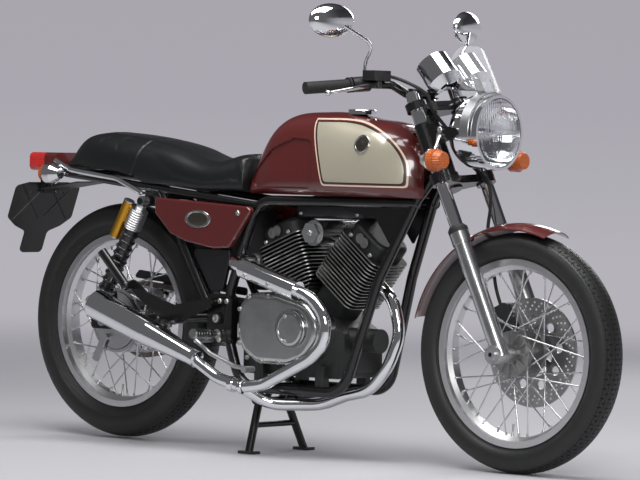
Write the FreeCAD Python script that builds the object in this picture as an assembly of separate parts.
import FreeCAD, Part
import math
import os

# A small roadster in cafe racer trim with an air-cooled V-twin, parked upright on its centre stand.
# +X is forward, +Y is the rider's left and +Z is up, in millimetres.
# While modelling, X is measured from the rear axle. At export everything moves forward so that
# the origin lies on the floor, midway between the front tyre and the end of the plate bracket.

# Clearances that every sub-part shares
SEAT_GAP = 0.3
RUN_FIT = 0.05
CUT_OVERRUN = 4.0

# Wheelbase, tyres and rims: 90/90-18 in front, 110/90-18 behind
WHEELBASE = 1385.0
FRONT_TYRE_RADIUS = 309.0
FRONT_TYRE_WIDTH = 90.0
REAR_TYRE_RADIUS = 327.0
REAR_TYRE_WIDTH = 110.0
REAR_WHEEL_LIFT = 4.0
TYRE_WALL = 9.0
TYRE_BEAD_HEIGHT = 14.0
RIM_FLANGE_RADIUS = 242.0
RIM_FLANGE_HEIGHT = 13.0
RIM_WELL_DEPTH = 11.0
RIM_WALL = 3.5
FRONT_RIM_HALF_WIDTH = 31.0
REAR_RIM_HALF_WIDTH = 36.0
RIM_WELL_HALF_WIDTH = 12.0
RIM_SHOULDER = 8.0
SPOKE_RADIUS = 2.0
SPOKE_ROOT = 2.5
SPOKE_HEAD_STANDOFF = 4.5
SPOKE_RIM_OUTER_Y = 9.5
SPOKE_RIM_INNER_Y = 3.0
SPOKES_PER_SIDE = 18
SPOKE_LEAN_DEG = 60.0

# Front hub, disc and spindle
AXLE_RADIUS = 8.5
FRONT_HUB_RADIUS = 26.0
FRONT_HUB_HALF_WIDTH = 47.0
FRONT_FLANGE_RADIUS = 58.0
HUB_FLANGE_WALL = 6.0
FRONT_FLANGE_Y = 32.0
HUB_RIB_COUNT = 12
HUB_RIB_WALL = 4.0
DISC_RADIUS = 141.0
DISC_THICKNESS = 5.0
DISC_BAND_WIDTH = 78.0
DISC_WINDOW_AT = 86.0
DISC_WINDOW_RADIUS = 12.0
DISC_WINDOW_COUNT = 9
DISC_CARRIER_RADIUS = 40.0
DISC_ARM_COUNT = 6
DISC_ARM_WIDTH = 22.0
DISC_Y = 52.0
AXLE_HEAD_RADIUS = 14.0
AXLE_HEAD_LENGTH = 8.0
AXLE_BORE_RADIUS = 5.5
AXLE_BORE_DEPTH = 40.0

# Rear hub, drum brake and chain drive
REAR_DRUM_RADIUS = 90.0
REAR_DRUM_WALL = 8.0
REAR_DRUM_OUTER_Y = 50.0
REAR_DRUM_INNER_Y = 8.0
REAR_HUB_RADIUS = 46.0
REAR_FLANGE_RADIUS = 72.0
REAR_FLANGE_Y = 38.0
BRAKE_PANEL_DEPTH = 14.0
BRAKE_PANEL_GAP = 2.0
BRAKE_PANEL_BOSS_RADIUS = 26.0
BRAKE_LEVER_LENGTH = 78.0
BRAKE_LEVER_WIDTH = 18.0
BRAKE_CAM_RADIUS = 60.0
CHAIN_PITCH = 15.875
SPROCKET_TEETH = 40
DRIVE_SPROCKET_TEETH = 14
SPROCKET_Y = 69.0
SPROCKET_THICKNESS = 6.0
SPROCKET_ROOT_DROP = 5.0
SPROCKET_TIP_RISE = 2.0
SPROCKET_WINDOW_RADIUS = 14.0
SPROCKET_WINDOW_COUNT = 6
CHAIN_HALF_WIDTH = 8.0
CHAIN_PLATE_WALL = 3.0
CHAIN_HALF_HEIGHT = 6.5
CHAIN_PIN_RADIUS = 3.0
DRIVE_SPROCKET_AHEAD = 58.0
DRIVE_SPROCKET_DROP = 6.0

# Fork and steering, with places measured along the fork from the level of the front axle
CASTER_DEG = 25.2
FORK_LEAD = 9.0
FORK_OFFSET = 45.0
FORK_HALF_SPACING = 92.0
FORK_TUBE_RADIUS = 17.5
FORK_TUBE_TOP_AT = 724.0
FORK_CAP_RADIUS = 14.0
FORK_CAP_HEIGHT = 7.0
SLIDER_RADIUS = 23.0
SLIDER_TOP_AT = 338.0
SLIDER_BORE_DEPTH = 90.0
SLIDER_COLLAR_RADIUS = 26.0
SLIDER_COLLAR_LENGTH = 32.0
SLIDER_FOOT_RADIUS = 24.0
SLIDER_FOOT_DROP = 8.0
LOWER_YOKE_AT = 488.0
LOWER_YOKE_DEPTH = 30.0
UPPER_YOKE_AT = 690.0
UPPER_YOKE_DEPTH = 22.0
YOKE_CLAMP_WALL = 9.0
YOKE_NECK_RADIUS = 30.0
STEM_RADIUS = 13.0
STEM_NUT_RADIUS = 18.0
STEM_NUT_HEIGHT = 12.0
HEAD_TUBE_RADIUS = 27.0
HEAD_RACE_RADIUS = 31.0
HEAD_RACE_HEIGHT = 13.0
HEAD_RACE_GAP = 0.5

# Frame tubes
FRAME_TUBE_RADIUS = 14.0
FRAME_BEND = 75.0
FRAME_HALF_WIDTH = 95.0
CRADLE_Z = 178.0
FRAME_REAR_X = 459.0
FRAME_HEAD_X = 1118.0
FRAME_HEAD_Z = 768.0
SEAT_RAIL_RADIUS = 11.0
SEAT_RAIL_HALF_WIDTH = 104.0
SEAT_RAIL_REAR_X = -205.0
SEAT_RAIL_REAR_Z = 744.0
STAY_TOP_X = 214.0
STAY_FOOT_X = 402.0
STAY_FOOT_Z = 386.0
PIVOT_X = 437.0
PIVOT_Z = 358.0
PIVOT_PLATE_OUTER_Y = 108.0
PIVOT_PLATE_INNER_Y = 82.0
PIVOT_PLATE_REAR_X = 398.0
PIVOT_PLATE_FRONT_X = 486.0
PIVOT_PLATE_TOP_Z = 424.0
PIVOT_PLATE_BOTTOM_Z = 284.0
PIVOT_BOLT_RADIUS = 8.0
PIVOT_NUT_RADIUS = 16.5
PIVOT_NUT_HEIGHT = 7.0
GUSSET_WALL = 4.0
CROSS_TUBE_RADIUS = 10.0

# Swingarm and shock absorbers
ARM_RADIUS = 15.0
ARM_HALF_SPACING = 95.0
ARM_ROOT_Y = 60.0
ARM_ROOT_RADIUS = 19.0
ARM_PLATE_FRONT_X = 58.0
ARM_PLATE_REAR_X = -46.0
ARM_PLATE_HALF_HEIGHT = 22.0
ARM_PLATE_WALL = 14.0
SHOCK_Y = 129.0
SHOCK_TOP_X = 172.0
SHOCK_TOP_Z = 668.0
SHOCK_FOOT_X = 30.0
SHOCK_FOOT_Z = 404.0
SHOCK_EYE_RADIUS = 14.0
SHOCK_EYE_HALF_WIDTH = 10.0
SHOCK_BOLT_RADIUS = 6.0
SHOCK_BOLT_HEAD_RADIUS = 9.0
SHOCK_BOLT_HEAD_HEIGHT = 6.0
SHOCK_HEAD_RADIUS = 25.0
SHOCK_HEAD_LENGTH = 84.0
SHOCK_BODY_RADIUS = 14.0
SHOCK_CUP_RADIUS = 25.0
SHOCK_CUP_HEIGHT = 14.0
SPRING_RADIUS = 24.0
SPRING_WIRE_RADIUS = 4.0
SPRING_TURNS = 9
RESERVOIR_RADIUS = 15.5
RESERVOIR_LENGTH = 116.0
RESERVOIR_SPACING = 46.0
RESERVOIR_DROP = 24.0

# Engine, measured from its crankshaft
CRANK_X = 710.0
CRANK_Z = 328.0
FRONT_CYLINDER_LEAN_DEG = 38.0
REAR_CYLINDER_LEAN_DEG = -22.0
CASE_HALF_WIDTH = 78.0
CASE_REAR_X = 506.0
CASE_FRONT_X = 862.0
CASE_BOTTOM_Z = 214.0
CASE_TOP_Z = 424.0
CASE_CORNER = 24.0
BARREL_FOOT = 92.0
FIN_PITCH = 10.4
FIN_WALL = 3.0
FIN_HALF_WIDTH = 72.0
FIN_REACH = 80.0
FIN_CORNER = 24.0
FIN_CORE_REACH = 52.0
VALLEY_GAP = 3.0
HEAD_COVER_REACH = 68.0
HEAD_COVER_HALF_WIDTH = 64.0
HEAD_COVER_CORNER = 40.0
HEAD_COVER_BOSS_RADIUS = 14.0
HEAD_COVER_BOSS_SPREAD = 9.0
HEAD_COVER_BOSS_HEIGHT = 7.0
CLUTCH_COVER_OUTER_Y = 160.0
CLUTCH_COVER_REAR_X = 546.0
CLUTCH_COVER_FRONT_X = 832.0
CLUTCH_COVER_TOP_Z = 436.0
CLUTCH_COVER_BOTTOM_Z = 246.0
CLUTCH_COVER_ROUND = 18.0
CRANK_CAP_RADIUS = 48.0
CRANK_CAP_HEIGHT = 9.0
CRANK_CAP_X = 746.0
CRANK_CAP_Z = 345.0
LEFT_COVER_OUTER_Y = 132.0
LEFT_COVER_RADIUS = 82.0
SPROCKET_COVER_X = 552.0
SPROCKET_COVER_RADIUS = 58.0
INTAKE_X = 752.0
INTAKE_Z = 598.0
INTAKE_HALF_WIDTH = 84.0
INTAKE_HEX_RADIUS = 29.0
INTAKE_HEX_DEPTH = 16.0
INTAKE_BODY_RADIUS = 34.0
INTAKE_DUCT_RADIUS = 20.0
OIL_FILTER_Z = 318.0
OIL_FILTER_RADIUS = 32.0
OIL_FILTER_LENGTH = 106.0

# Exhaust on the right
HEADER_RADIUS = 16.0
HEADER_BEND = 110.0
EXHAUST_Y = 186.0
SHIELD_RADIUS = 26.0
COLLECTOR_X = 600.0
COLLECTOR_Z = 184.0
COLLECTOR_RADIUS = 19.0
COLLECTOR_LENGTH = 44.0
SILENCER_FRONT_X = 432.0
SILENCER_FRONT_Z = 250.0
SILENCER_REAR_X = 42.0
SILENCER_REAR_Z = 386.0
SILENCER_FRONT_RADIUS = 22.0
SILENCER_MID_RADIUS = 37.0
SILENCER_REAR_RADIUS = 41.0
SILENCER_MID_SHARE = 0.45
SILENCER_END_ROUND = 12.0
SILENCER_OUTLET_RADIUS = 15.0
SILENCER_OUTLET_DEPTH = 70.0
SILENCER_OUTLET_WALL = 2.5
SILENCER_OUTLET_STANDOUT = 16.0

# Tank, seat and covers
TANK_REAR_X = 510.0
TANK_LENGTH = 592.0
TANK_BOTTOM_Z = 697.7
TANK_HEIGHT = 222.0
TANK_HALF_WIDTH = 126.0
TANK_TUNNEL_HALF_WIDTH = 34.0
TANK_TUNNEL_HEIGHT = 190.0
TANK_TUNNEL_LENGTH = 62.0
FUEL_CAP_X = 842.0
FUEL_CAP_RADIUS = 38.0
FUEL_CAP_HEIGHT = 13.0
FUEL_CAP_SEAT_Z = 914.0
SEAT_REAR_X = -176.0
SEAT_LENGTH = 682.0
SEAT_BOTTOM_Z = 716.0
SEAT_HEIGHT = 144.0
SEAT_HALF_WIDTH = 120.0
SIDE_COVER_INNER_Y = 118.0
SIDE_COVER_OUTER_Y = 134.0
SIDE_COVER_REAR_X = 216.0
SIDE_COVER_LENGTH = 356.0
SIDE_COVER_BOTTOM_Z = 546.0
SIDE_COVER_HEIGHT = 136.0
LOWER_COVER_OUTER_Y = 100.0
LOWER_COVER_WALL = 12.0

# Indicators
INDICATOR_RADIUS = 29.0
INDICATOR_BODY_LENGTH = 48.0
INDICATOR_LENS_LENGTH = 20.0
INDICATOR_LENS_END_RADIUS = 21.0
INDICATOR_STALK_RADIUS = 6.0
REAR_INDICATOR_X = -150.0
REAR_INDICATOR_Y = 152.0
REAR_INDICATOR_Z = 737.0
REAR_INDICATOR_FOOT_Y = 115.3

# Stands
CENTRE_STAND_X = 545.0
CENTRE_STAND_Z = 142.0
CENTRE_STAND_HALF_WIDTH = 30.0
CENTRE_STAND_FOOT_X = 562.0
CENTRE_STAND_SPREAD = 112.0
CENTRE_STAND_LEG_RADIUS = 11.0
STAND_FOOT_LENGTH = 54.0
STAND_FOOT_WIDTH = 30.0
STAND_FOOT_HEIGHT = 8.0
SIDE_STAND_X = 660.0
SIDE_STAND_Y = 122.0
SIDE_STAND_Z = 160.0
SIDE_STAND_LENGTH = 132.0
SIDE_STAND_RADIUS = 8.0

# Handlebar, controls and mirrors
BAR_RADIUS = 11.0
BAR_BEND = 40.0
BAR_AT = 742.0
BAR_BEHIND = 34.0
BAR_CLAMP_Y = 40.0
BAR_CLAMP_RADIUS = 17.0
BAR_CLAMP_WIDTH = 24.0
BAR_CENTRE_Y = 62.0
BAR_ELBOW_Y = 112.0
BAR_ELBOW_BACK = 12.0
BAR_SHOULDER_Y = 186.0
BAR_SHOULDER_BACK = 50.0
BAR_RISE = 25.0
BAR_END_Y = 342.0
BAR_END_BACK = 106.0
BAR_END_RISE = 11.0
GRIP_START_Y = 222.0
GRIP_RADIUS = 16.0
GRIP_FLANGE_RADIUS = 20.0
GRIP_FLANGE_WALL = 6.0
GRIP_END_WALL = 4.0
SWITCH_RADIUS = 20.0
SWITCH_START_Y = 150.0
SWITCH_END_Y = 218.0
MASTER_LENGTH = 66.0
MASTER_WIDTH = 40.0
MASTER_HEIGHT = 26.0
LEVER_PIVOT_AHEAD = 34.0
LEVER_RADIUS = 4.5
LEVER_BALL_RADIUS = 8.0
LEVER_DROP = 14.0
LEVER_REACH_AHEAD = 44.0
LEVER_END_Y = 318.0
MIRROR_FOOT_Y = 160.0
MIRROR_STEM_RADIUS = 4.5
MIRROR_STEM_BEND = 40.0
MIRROR_X = 964.0
MIRROR_Y = 277.0
MIRROR_Z = 1152.0
MIRROR_HALF_WIDTH = 72.0
MIRROR_HALF_HEIGHT = 44.0
MIRROR_DEPTH = 30.0
MIRROR_YAW_DEG = 12.0
MIRROR_ELBOW_X = 1036.0
MIRROR_ELBOW_Y = 190.0
MIRROR_ELBOW_Z = 1092.0

# Lamps, instruments and screen
LAMP_X = 1242.0
LAMP_FACE_X = 1304.0
LAMP_Z = 871.0
LAMP_RADIUS = 92.0
LAMP_RIM_RADIUS = 97.0
LAMP_RIM_LENGTH = 18.0
LAMP_SHELL_WALL = 2.5
LAMP_DEPTH = 112.0
LAMP_LENS_SAG = 12.0
LAMP_LENS_WALL = 4.0
LAMP_EAR_WALL = 4.0
LAMP_EAR_LOW_AT = 560.0
LAMP_EAR_HIGH_AT = 640.0
LAMP_BOLT_RADIUS = 6.0
LAMP_BOLT_HEAD_RADIUS = 11.0
FRONT_INDICATOR_X = 1214.0
FRONT_INDICATOR_Y = 168.0
FRONT_INDICATOR_Z = 799.0
CUP_RADIUS = 45.0
CUP_FOOT_RADIUS = 27.0
CUP_DEPTH = 86.0
CUP_LEAN_DEG = 42.0
CUP_GLASS_DEPTH = 4.0
CUP_RIM_WALL = 3.0
SCREEN_HALF_WIDTH = 84.0
SCREEN_WALL = 3.0
SCREEN_FOOT_X = 1274.0
SCREEN_FOOT_Z = 979.0
SCREEN_TOP_X = 1212.0
SCREEN_TOP_Z = 1094.0
SCREEN_BAND_WALL = 3.0
SCREEN_BAND_WIDTH = 28.0

# Front mudguard, caliper and brake hose
GUARD_RADIUS = 334.0
GUARD_WALL = 3.0
GUARD_HALF_WIDTH = 52.0
GUARD_CROWN = 16.0
GUARD_FRONT_DEG = 70.0
GUARD_REAR_DEG = 166.0
GUARD_STAY_RADIUS = 4.5
CALIPER_LENGTH = 80.0
CALIPER_DEPTH = 62.0
CALIPER_WIDTH = 34.0
CALIPER_CORNER = 12.0
HOSE_RADIUS = 4.5
HOSE_BEND = 60.0

# Seats of the mudguard, instruments, screen, caliper and hose
GUARD_STUD_AT = 320.0
GUARD_STUD_RADIUS = 8.0
CUP_X = 1152.0
CUP_Y = 60.0
CUP_Z = 1018.0
CUP_BOSS_AHEAD = 84.0
CUP_BOSS_RADIUS = 10.0
CUP_PLATE_AT = 696.8
CUP_PLATE_WALL = 4.0
CUP_PLATE_BACK = 4.0
CUP_PLATE_WAIST = 42.0
SCREEN_SAG = 34.0
SCREEN_SHARES = [(-0.9, 0.0), (0.9, 0.0), (1.0, 0.3), (0.92, 0.72), (0.5, 1.0), (-0.5, 1.0),
                 (-0.92, 0.72), (-1.0, 0.3)]
SCREEN_CORNER = 52.0
CALIPER_AT = 116.0
CALIPER_BEHIND = 28.0
CALIPER_INNER_Y = 42.0
CALIPER_PAD_GAP = 1.5
HOSE_LAST_RUN = 40.0
HOSE_ROUTE = [(250.0, -44.0, 59.0), (340.0, -32.0, 59.0), (420.0, 30.0, 54.0), (478.0, 40.0, 50.0),
              (520.0, 2.0, 50.0), (590.0, -3.0, 40.0), (650.0, 6.0, -16.0), (682.0, 16.0, -56.0),
              (716.0, 34.0, -64.0)]

# Joints between the frame, the stands and the running gear
CROSS_TUBE_X = 572.0
STAND_LUG_WALL = 7.0
STAND_PIN_RADIUS = 6.0
SEAT_RAIL_FRONT_X = 572.0
SEAT_RAIL_FRONT_Z = 664.0
SEAT_RAIL_KNEE_X = 430.0
SEAT_RAIL_KNEE_Z = 680.0
SHOCK_BRACKET_WALL = 8.0
CHAIN_CLEAR_PINS = 2
BRAKE_LEVER_WALL = 6.0
SLIDER_BOSS_HALF_WIDTH = 25.0

# Engine castings, ports and seats
FRONT_FIN_START = 151.2
FRONT_FIN_COUNT = 15
REAR_FIN_START = 107.0
REAR_FIN_COUNT = 16
HEAD_COVER_HEIGHT = 46.0
HEAD_COVER_ROUND = 14.0
VALLEY_BLOCK = 400.0
DECK_REACH = 70.0
CASE_SHOULDER = 24.0
FRONT_PORT_AT = 246.0
FRONT_PORT_Y = -24.0
PORT_FACE_REACH = 92.0
PORT_RADIUS = 20.0
REAR_PORT_AT = 240.0
REAR_PORT_REACH = 90.0
REAR_PORT_FACE_Y = 76.0
SPROCKET_POCKET_GAP = 8.0
OUTPUT_SHAFT_RADIUS = 14.0
ENGINE_FOOT_LAP = 6.0
ENGINE_FOOT_REAR_X = 560.0
ENGINE_FOOT_FRONT_X = 776.0
ENGINE_FOOT_LENGTH = 32.0
OIL_FILTER_Y = -26.0
CLUTCH_COVER_CORNER = 70.0
CLUTCH_COVER_SHARES = [(0.0, 0.4), (0.03, 0.84), (0.16, 1.0), (0.5, 1.0), (0.86, 0.88), (1.0, 0.62),
                       (1.0, 0.36), (0.86, 0.1), (0.66, 0.0), (0.26, 0.0), (0.08, 0.16)]
SPROCKET_COVER_Z = 352.0
SPROCKET_COVER_STEP = 26.0
HEXAGON_SIDES = 6
HEADER_COVER_GAP = 12.0
REAR_HEADER_BENDS = [(838.0, 434.0, 0.6), (887.0, 380.0, 1.0), (887.0, 316.0, 1.0), (838.0, 272.0, 1.0),
                     (675.0, 194.0, 1.0)]
FRONT_HEADER_BENDS = [(1012.0, -30.0, 340.0), (986.0, -44.0, 256.0), (930.0, -50.0, 188.0),
                      (850.0, -50.0, 172.0), (770.0, -54.0, 142.0), (650.0, -130.0, 138.0)]
PORT_RUN = 62.0
CASE_REAR_SHOULDER = 64.0
TUBE_NOTCH_HALF_WIDTH = 54.0
TUBE_NOTCH_HEIGHT = 76.0
SHIELD_START_SHARE = 0.2
SHIELD_END_SHARE = 0.84
SILENCER_SOCKET = 34.0

# Sections of the tank and seat, as shares of their length, height and half width
TANK_STATIONS = [(0.003, 0.1, -0.03, 0.56), (0.034, 0.338, -0.03, 0.67), (0.088, 0.644, -0.03, 0.74),
                 (0.152, 0.86, -0.03, 0.81), (0.236, 0.968, -0.03, 0.857), (0.372, 1.0, -0.03, 0.889),
                 (0.49, 1.0, -0.03, 0.937), (0.66, 0.928, -0.03, 1.0), (0.81, 0.869, -0.03, 0.984),
                 (0.895, 0.77, -0.03, 0.889), (0.954, 0.662, -0.03, 0.714), (0.99, 0.523, -0.03, 0.524),
                 (1.0, 0.455, -0.03, 0.397)]
TANK_SECTION = [(0.0, 0.0), (0.62, 0.0), (0.93, 0.08), (1.0, 0.32), (0.93, 0.62), (0.72, 0.88),
                (0.36, 0.985), (0.0, 1.0)]
TANK_KNEE_PLACES = [(530.0, 715.0), (770.0, 715.0), (758.0, 845.0), (690.0, 850.0), (610.0, 820.0),
                    (540.0, 760.0)]
TANK_KNEE_CORNER = 25.0
TANK_KNEE_DEPTH = 7.0
SEAT_STATIONS = [(0.0, 0.4, 0.28, 0.66), (0.05, 0.62, 0.24, 0.76), (0.11, 0.88, 0.2, 0.86),
                 (0.16, 0.96, 0.16, 0.92), (0.26, 0.95, 0.04, 0.98), (0.38, 0.9, -0.08, 1.0),
                 (0.5, 0.82, -0.14, 1.0), (0.62, 0.7, -0.14, 1.0), (0.72, 0.55, -0.14, 0.99),
                 (0.84, 0.47, -0.14, 0.97), (0.93, 0.56, -0.14, 0.9), (1.0, 0.6, -0.14, 0.8)]
SEAT_SKIRT_PLACES = [(-176.0, 754.0), (-40.0, 752.0), (60.0, 744.0), (120.0, 731.0), (190.0, 698.0),
                     (507.0, 698.0)]
SEAT_SECTION = [(0.0, 0.0), (0.66, 0.0), (0.95, 0.1), (1.0, 0.35), (0.96, 0.66), (0.8, 0.9),
                (0.42, 0.985), (0.0, 1.0)]
SEAT_FRONT_GAP = 3.0
SEAT_SKIRT_GAP = 1.0
FUEL_CAP_ROUND = 4.0
SIDE_COVER_SHARES = [(0.96, 0.86), (0.0, 0.985), (0.01, 0.66), (0.17, 0.27), (0.33, 0.12), (0.62, 0.0),
                     (0.78, 0.03), (1.0, 0.78)]
SIDE_COVER_PIN_SHARES = [(0.32, 0.63), (0.68, 0.63)]
SIDE_COVER_PIN_RADIUS = 6.0
SIDE_COVER_CORNER = 16.0
SIDE_COVER_ROUND = 6.0
LOWER_COVER_REAR_X = 322.0
LOWER_COVER_LENGTH = 168.0
LOWER_COVER_BOTTOM_Z = 430.0
LOWER_COVER_HEIGHT = 116.0
LOWER_COVER_SHARES = [(0.0, 1.0), (0.46, 0.0), (0.72, 0.0), (0.9, 1.0)]
LOWER_COVER_CORNER = 16.0
LOWER_COVER_ROUND = 4.0
BATTERY_BOX_REAR_X = 300.0
BATTERY_BOX_FRONT_X = 470.0
BATTERY_BOX_TOP_Z = 650.0
BATTERY_BOSS_X = 317.0
BATTERY_BOSS_Z = 535.0
BATTERY_BOSS_RADIUS = 12.0

# Undertray, plate board and lamp bracket
UNDERTRAY_PLACES = [(250.0, 640.0), (120.0, 700.0), (0.0, 716.0), (-150.0, 712.0), (-300.0, 690.0)]
UNDERTRAY_HALF_WIDTH = 62.0
UNDERTRAY_WALL = 3.0
UNDERTRAY_TIE_X = 60.0
UNDERTRAY_TIE_Z = 711.0
UNDERTRAY_TIE_RADIUS = 6.0
PLATE_TOP_X = -318.0
PLATE_TOP_Z = 708.0
PLATE_FOOT_X = -392.0
PLATE_FOOT_Z = 507.0
PLATE_WALL = 5.0
PLATE_HALF_WIDTH = 127.0
PLATE_SHARES = [(0.0, 0.62), (0.05, 1.0), (0.5, 1.0), (0.62, 0.7), (0.7, 0.34), (1.0, 0.34)]
PLATE_CORNER = 14.0
PLATE_HOLE_RADIUS = 3.25
PLATE_HOLE_SPACING = 126.0
PLATE_HOLE_DROP = 30.0
TAIL_ARM_REAR_X = -322.0
TAIL_ARM_FRONT_X = -212.0
TAIL_BRACKET_HALF_WIDTH = 34.0
TAIL_LAMP_REAR_X = -352.0
TAIL_LAMP_LENGTH = 112.0
TAIL_LAMP_HALF_WIDTH = 55.0
TAIL_LAMP_BOTTOM_Z = 743.0
TAIL_LAMP_HEIGHT = 52.0
TAIL_LENS_LENGTH = 64.0
TAIL_LAMP_CORNER = 14.0
TAIL_LENS_ROUND = 9.0
GRAB_RAIL_Y = 128.0
GRAB_RAIL_PLACES = [(-170.0, 774.0), (-112.0, 748.0), (70.0, 727.0), (162.0, 690.0)]
GRAB_RAIL_RADIUS = 7.0

# Footrests, pillion brackets and pedals
FOOTREST_X = 442.0
FOOTREST_Z = 316.0
FOOTREST_START_Y = 140.0
FOOTREST_END_Y = 230.0
FOOTREST_SWEEP = 14.0
FOOTREST_RISE = 4.0
FOOTREST_FOOT_RADIUS = 13.0
FOOTREST_FOOT_WALL = 8.0
FOOTREST_ARM_RADIUS = 8.0
FOOTREST_RADIUS = 14.0
FOOTREST_RIBS = 7
FOOTREST_RIB_SHARE = 0.6
FOOTREST_RIB_DEPTH = 3.0
PILLION_Y = 136.0
PILLION_WALL = 10.0
PILLION_CORNER = 12.0
PILLION_BOSS_RADIUS = 9.0
PILLION_PLACES = [(442.0, 416.0), (442.0, 390.0), (300.0, 334.0), (272.0, 340.0), (166.0, 404.0),
                  (130.0, 440.0), (146.0, 454.0), (196.0, 420.0), (300.0, 388.0)]
PEG_PIVOT_X = 142.0
PEG_PIVOT_Z = 436.0
PEG_TIP_X = 68.0
PEG_TIP_Z = 528.0
PEG_Y = 162.0
PEG_SPLAY = 20.0
PEG_RADIUS = 13.0
HANGER_X = 288.0
HANGER_Z = 352.0
HANGER_RADIUS = 7.0
PEDAL_RADIUS = 6.0
PEDAL_BEND = 40.0
PEDAL_PAD_LENGTH = 30.0
PEDAL_PAD_RADIUS = 9.0
GEAR_PEDAL_Y = 142.0
GEAR_SHAFT_X = 560.0
GEAR_SHAFT_Z = 262.0
GEAR_TIP_X = 640.0
GEAR_TIP_Z = 240.0
BRAKE_PEDAL_Y = 172.0
BRAKE_SHAFT_X = 418.0
BRAKE_SHAFT_Z = 298.0
BRAKE_PEDAL_BENDS = [(470.0, 266.0), (560.0, 236.0), (616.0, 232.0)]

# Chain guard and stands
CHAIN_GUARD_LEAD = 60.0
CHAIN_GUARD_RISE = 116.0
CHAIN_GUARD_FRONT_X = 372.0
CHAIN_GUARD_FRONT_Z = 412.0
CHAIN_GUARD_DEPTH = 22.0
CHAIN_GUARD_GAP = 4.0
CHAIN_GUARD_WALL = 3.0
CHAIN_GUARD_CORNER = 9.0
CHAIN_GUARD_LEG_PLACES = [112.0, 262.0]
CHAIN_GUARD_LEG_HALF_WIDTH = 8.0
STAND_TUBE_RADIUS = 13.0
STAND_BRACE_SHARE = 0.5
SIDE_STAND_FOLD_DEG = 8.0
SIDE_STAND_EYE_HALF_WIDTH = 9.0
SIDE_STAND_EYE_RADIUS = 15.0
INDICATOR_FOOT_WALL = 5.0
INDICATOR_FOOT_RADIUS = 9.0
FRONT_STALK_X = 1190.0
FRONT_STALK_Z = 862.0
SCREEN_TAB_INNER_Y = 20.0
SCREEN_TAB_OUTER_Y = 42.0
SCREEN_TAB_HEIGHT = 30.0
SCREEN_TAB_DEPTH = 5.0
STAND_EYE_WIDTH = 34.0
STAND_PIN_HEAD = 4.0
GUARD_STUD_STANDOFF = 26.4
LEVER_PERCH_RADIUS = 7.0
LEVER_KNUCKLE_RADIUS = 9.0
BALL_RISE = 1.0

# Shapes of the tyre walls, lamp bowl and frame tubes, as shares of their sizes
WALL_BULGE_SHARE = 0.52
SHOULDER_Y_SHARE = 0.86
SHOULDER_DROP_SHARE = 0.2
SHOULDER_INSET_SHARE = 0.9
DOME_X_SHARE = 0.3
DOME_RISE_SHARE = 0.72
QUARTER_TURN = 90
LOWER_TUBE_SHARES = [(1.0, 0.21, 1.0), (0.915, 0.38, 0.868), (0.772, 0.716, 0.519), (0.63, 1.0, 0.0),
                     (0.08, 1.0, 0.0), (0.0, 1.0, 0.258)]
UPPER_TUBE_SHARES = [(0.0, 1.0, 0.258), (0.019, 1.0, 0.437), (0.153, 1.0, 0.851), (0.927, 0.4, 0.857)]
GUSSET_SHARES = [(0.5, 0.84), (0.89, 0.84), (0.865, 0.79), (0.80, 0.67), (0.72, 0.79), (0.6, 0.81)]
ARM_SHARES = [(1.0, 0.0, 1.0), (0.91, 0.0, 0.98), (0.71, 1.0, 0.8), (0.06, 1.0, 0.05)]
BRAKE_CAM_DROP_SHARE = 0.8

V = FreeCAD.Vector
X_AXIS = V(1, 0, 0)
Y_AXIS = V(0, 1, 0)
Z_AXIS = V(0, 0, 1)
FULL_TURN = 360
RUN_REACH_SHARE = 0.45
NEARLY_STRAIGHT = 0.001

REAR_AXLE = V(0, 0, REAR_TYRE_RADIUS + REAR_WHEEL_LIFT)
FRONT_AXLE = V(WHEELBASE, 0, FRONT_TYRE_RADIUS)
CASTER = math.radians(CASTER_DEG)
FORK_UP = V(-math.sin(CASTER), 0, math.cos(CASTER))
FORK_AHEAD = V(math.cos(CASTER), 0, math.sin(CASTER))
CRANK = V(CRANK_X, 0, CRANK_Z)
DRIVE_SPROCKET = V(PIVOT_X + DRIVE_SPROCKET_AHEAD, 0, PIVOT_Z - DRIVE_SPROCKET_DROP)


def fork_point(along, ahead, side):
    """A place by the fork: up its tubes, square to them in front, and to the left."""
    foot = FRONT_AXLE + X_AXIS * FORK_LEAD
    return foot + FORK_UP * along + FORK_AHEAD * ahead + Y_AXIS * side


def rod(start, end, radius):
    return Part.makeCylinder(radius, (end - start).Length, start, end - start)


def taper(start, end, start_radius, end_radius):
    return Part.makeCone(start_radius, end_radius, (end - start).Length, start, end - start)


def cross_rod(x, z, y_from, y_to, radius):
    return rod(V(x, y_from, z), V(x, y_to, z), radius)


def block(x_from, x_to, y_from, y_to, z_from, z_to):
    return Part.makeBox(x_to - x_from, y_to - y_from, z_to - z_from, V(x_from, y_from, z_from))


def joined(shapes):
    whole = shapes[0].multiFuse(shapes[1:])
    return whole.removeSplitter()


def mirrored(shape):
    return shape.mirror(V(0, 0, 0), Y_AXIS)


def pair(shape):
    """The same piece on both sides, as two solids."""
    return Part.Compound([shape, mirrored(shape)])


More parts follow.
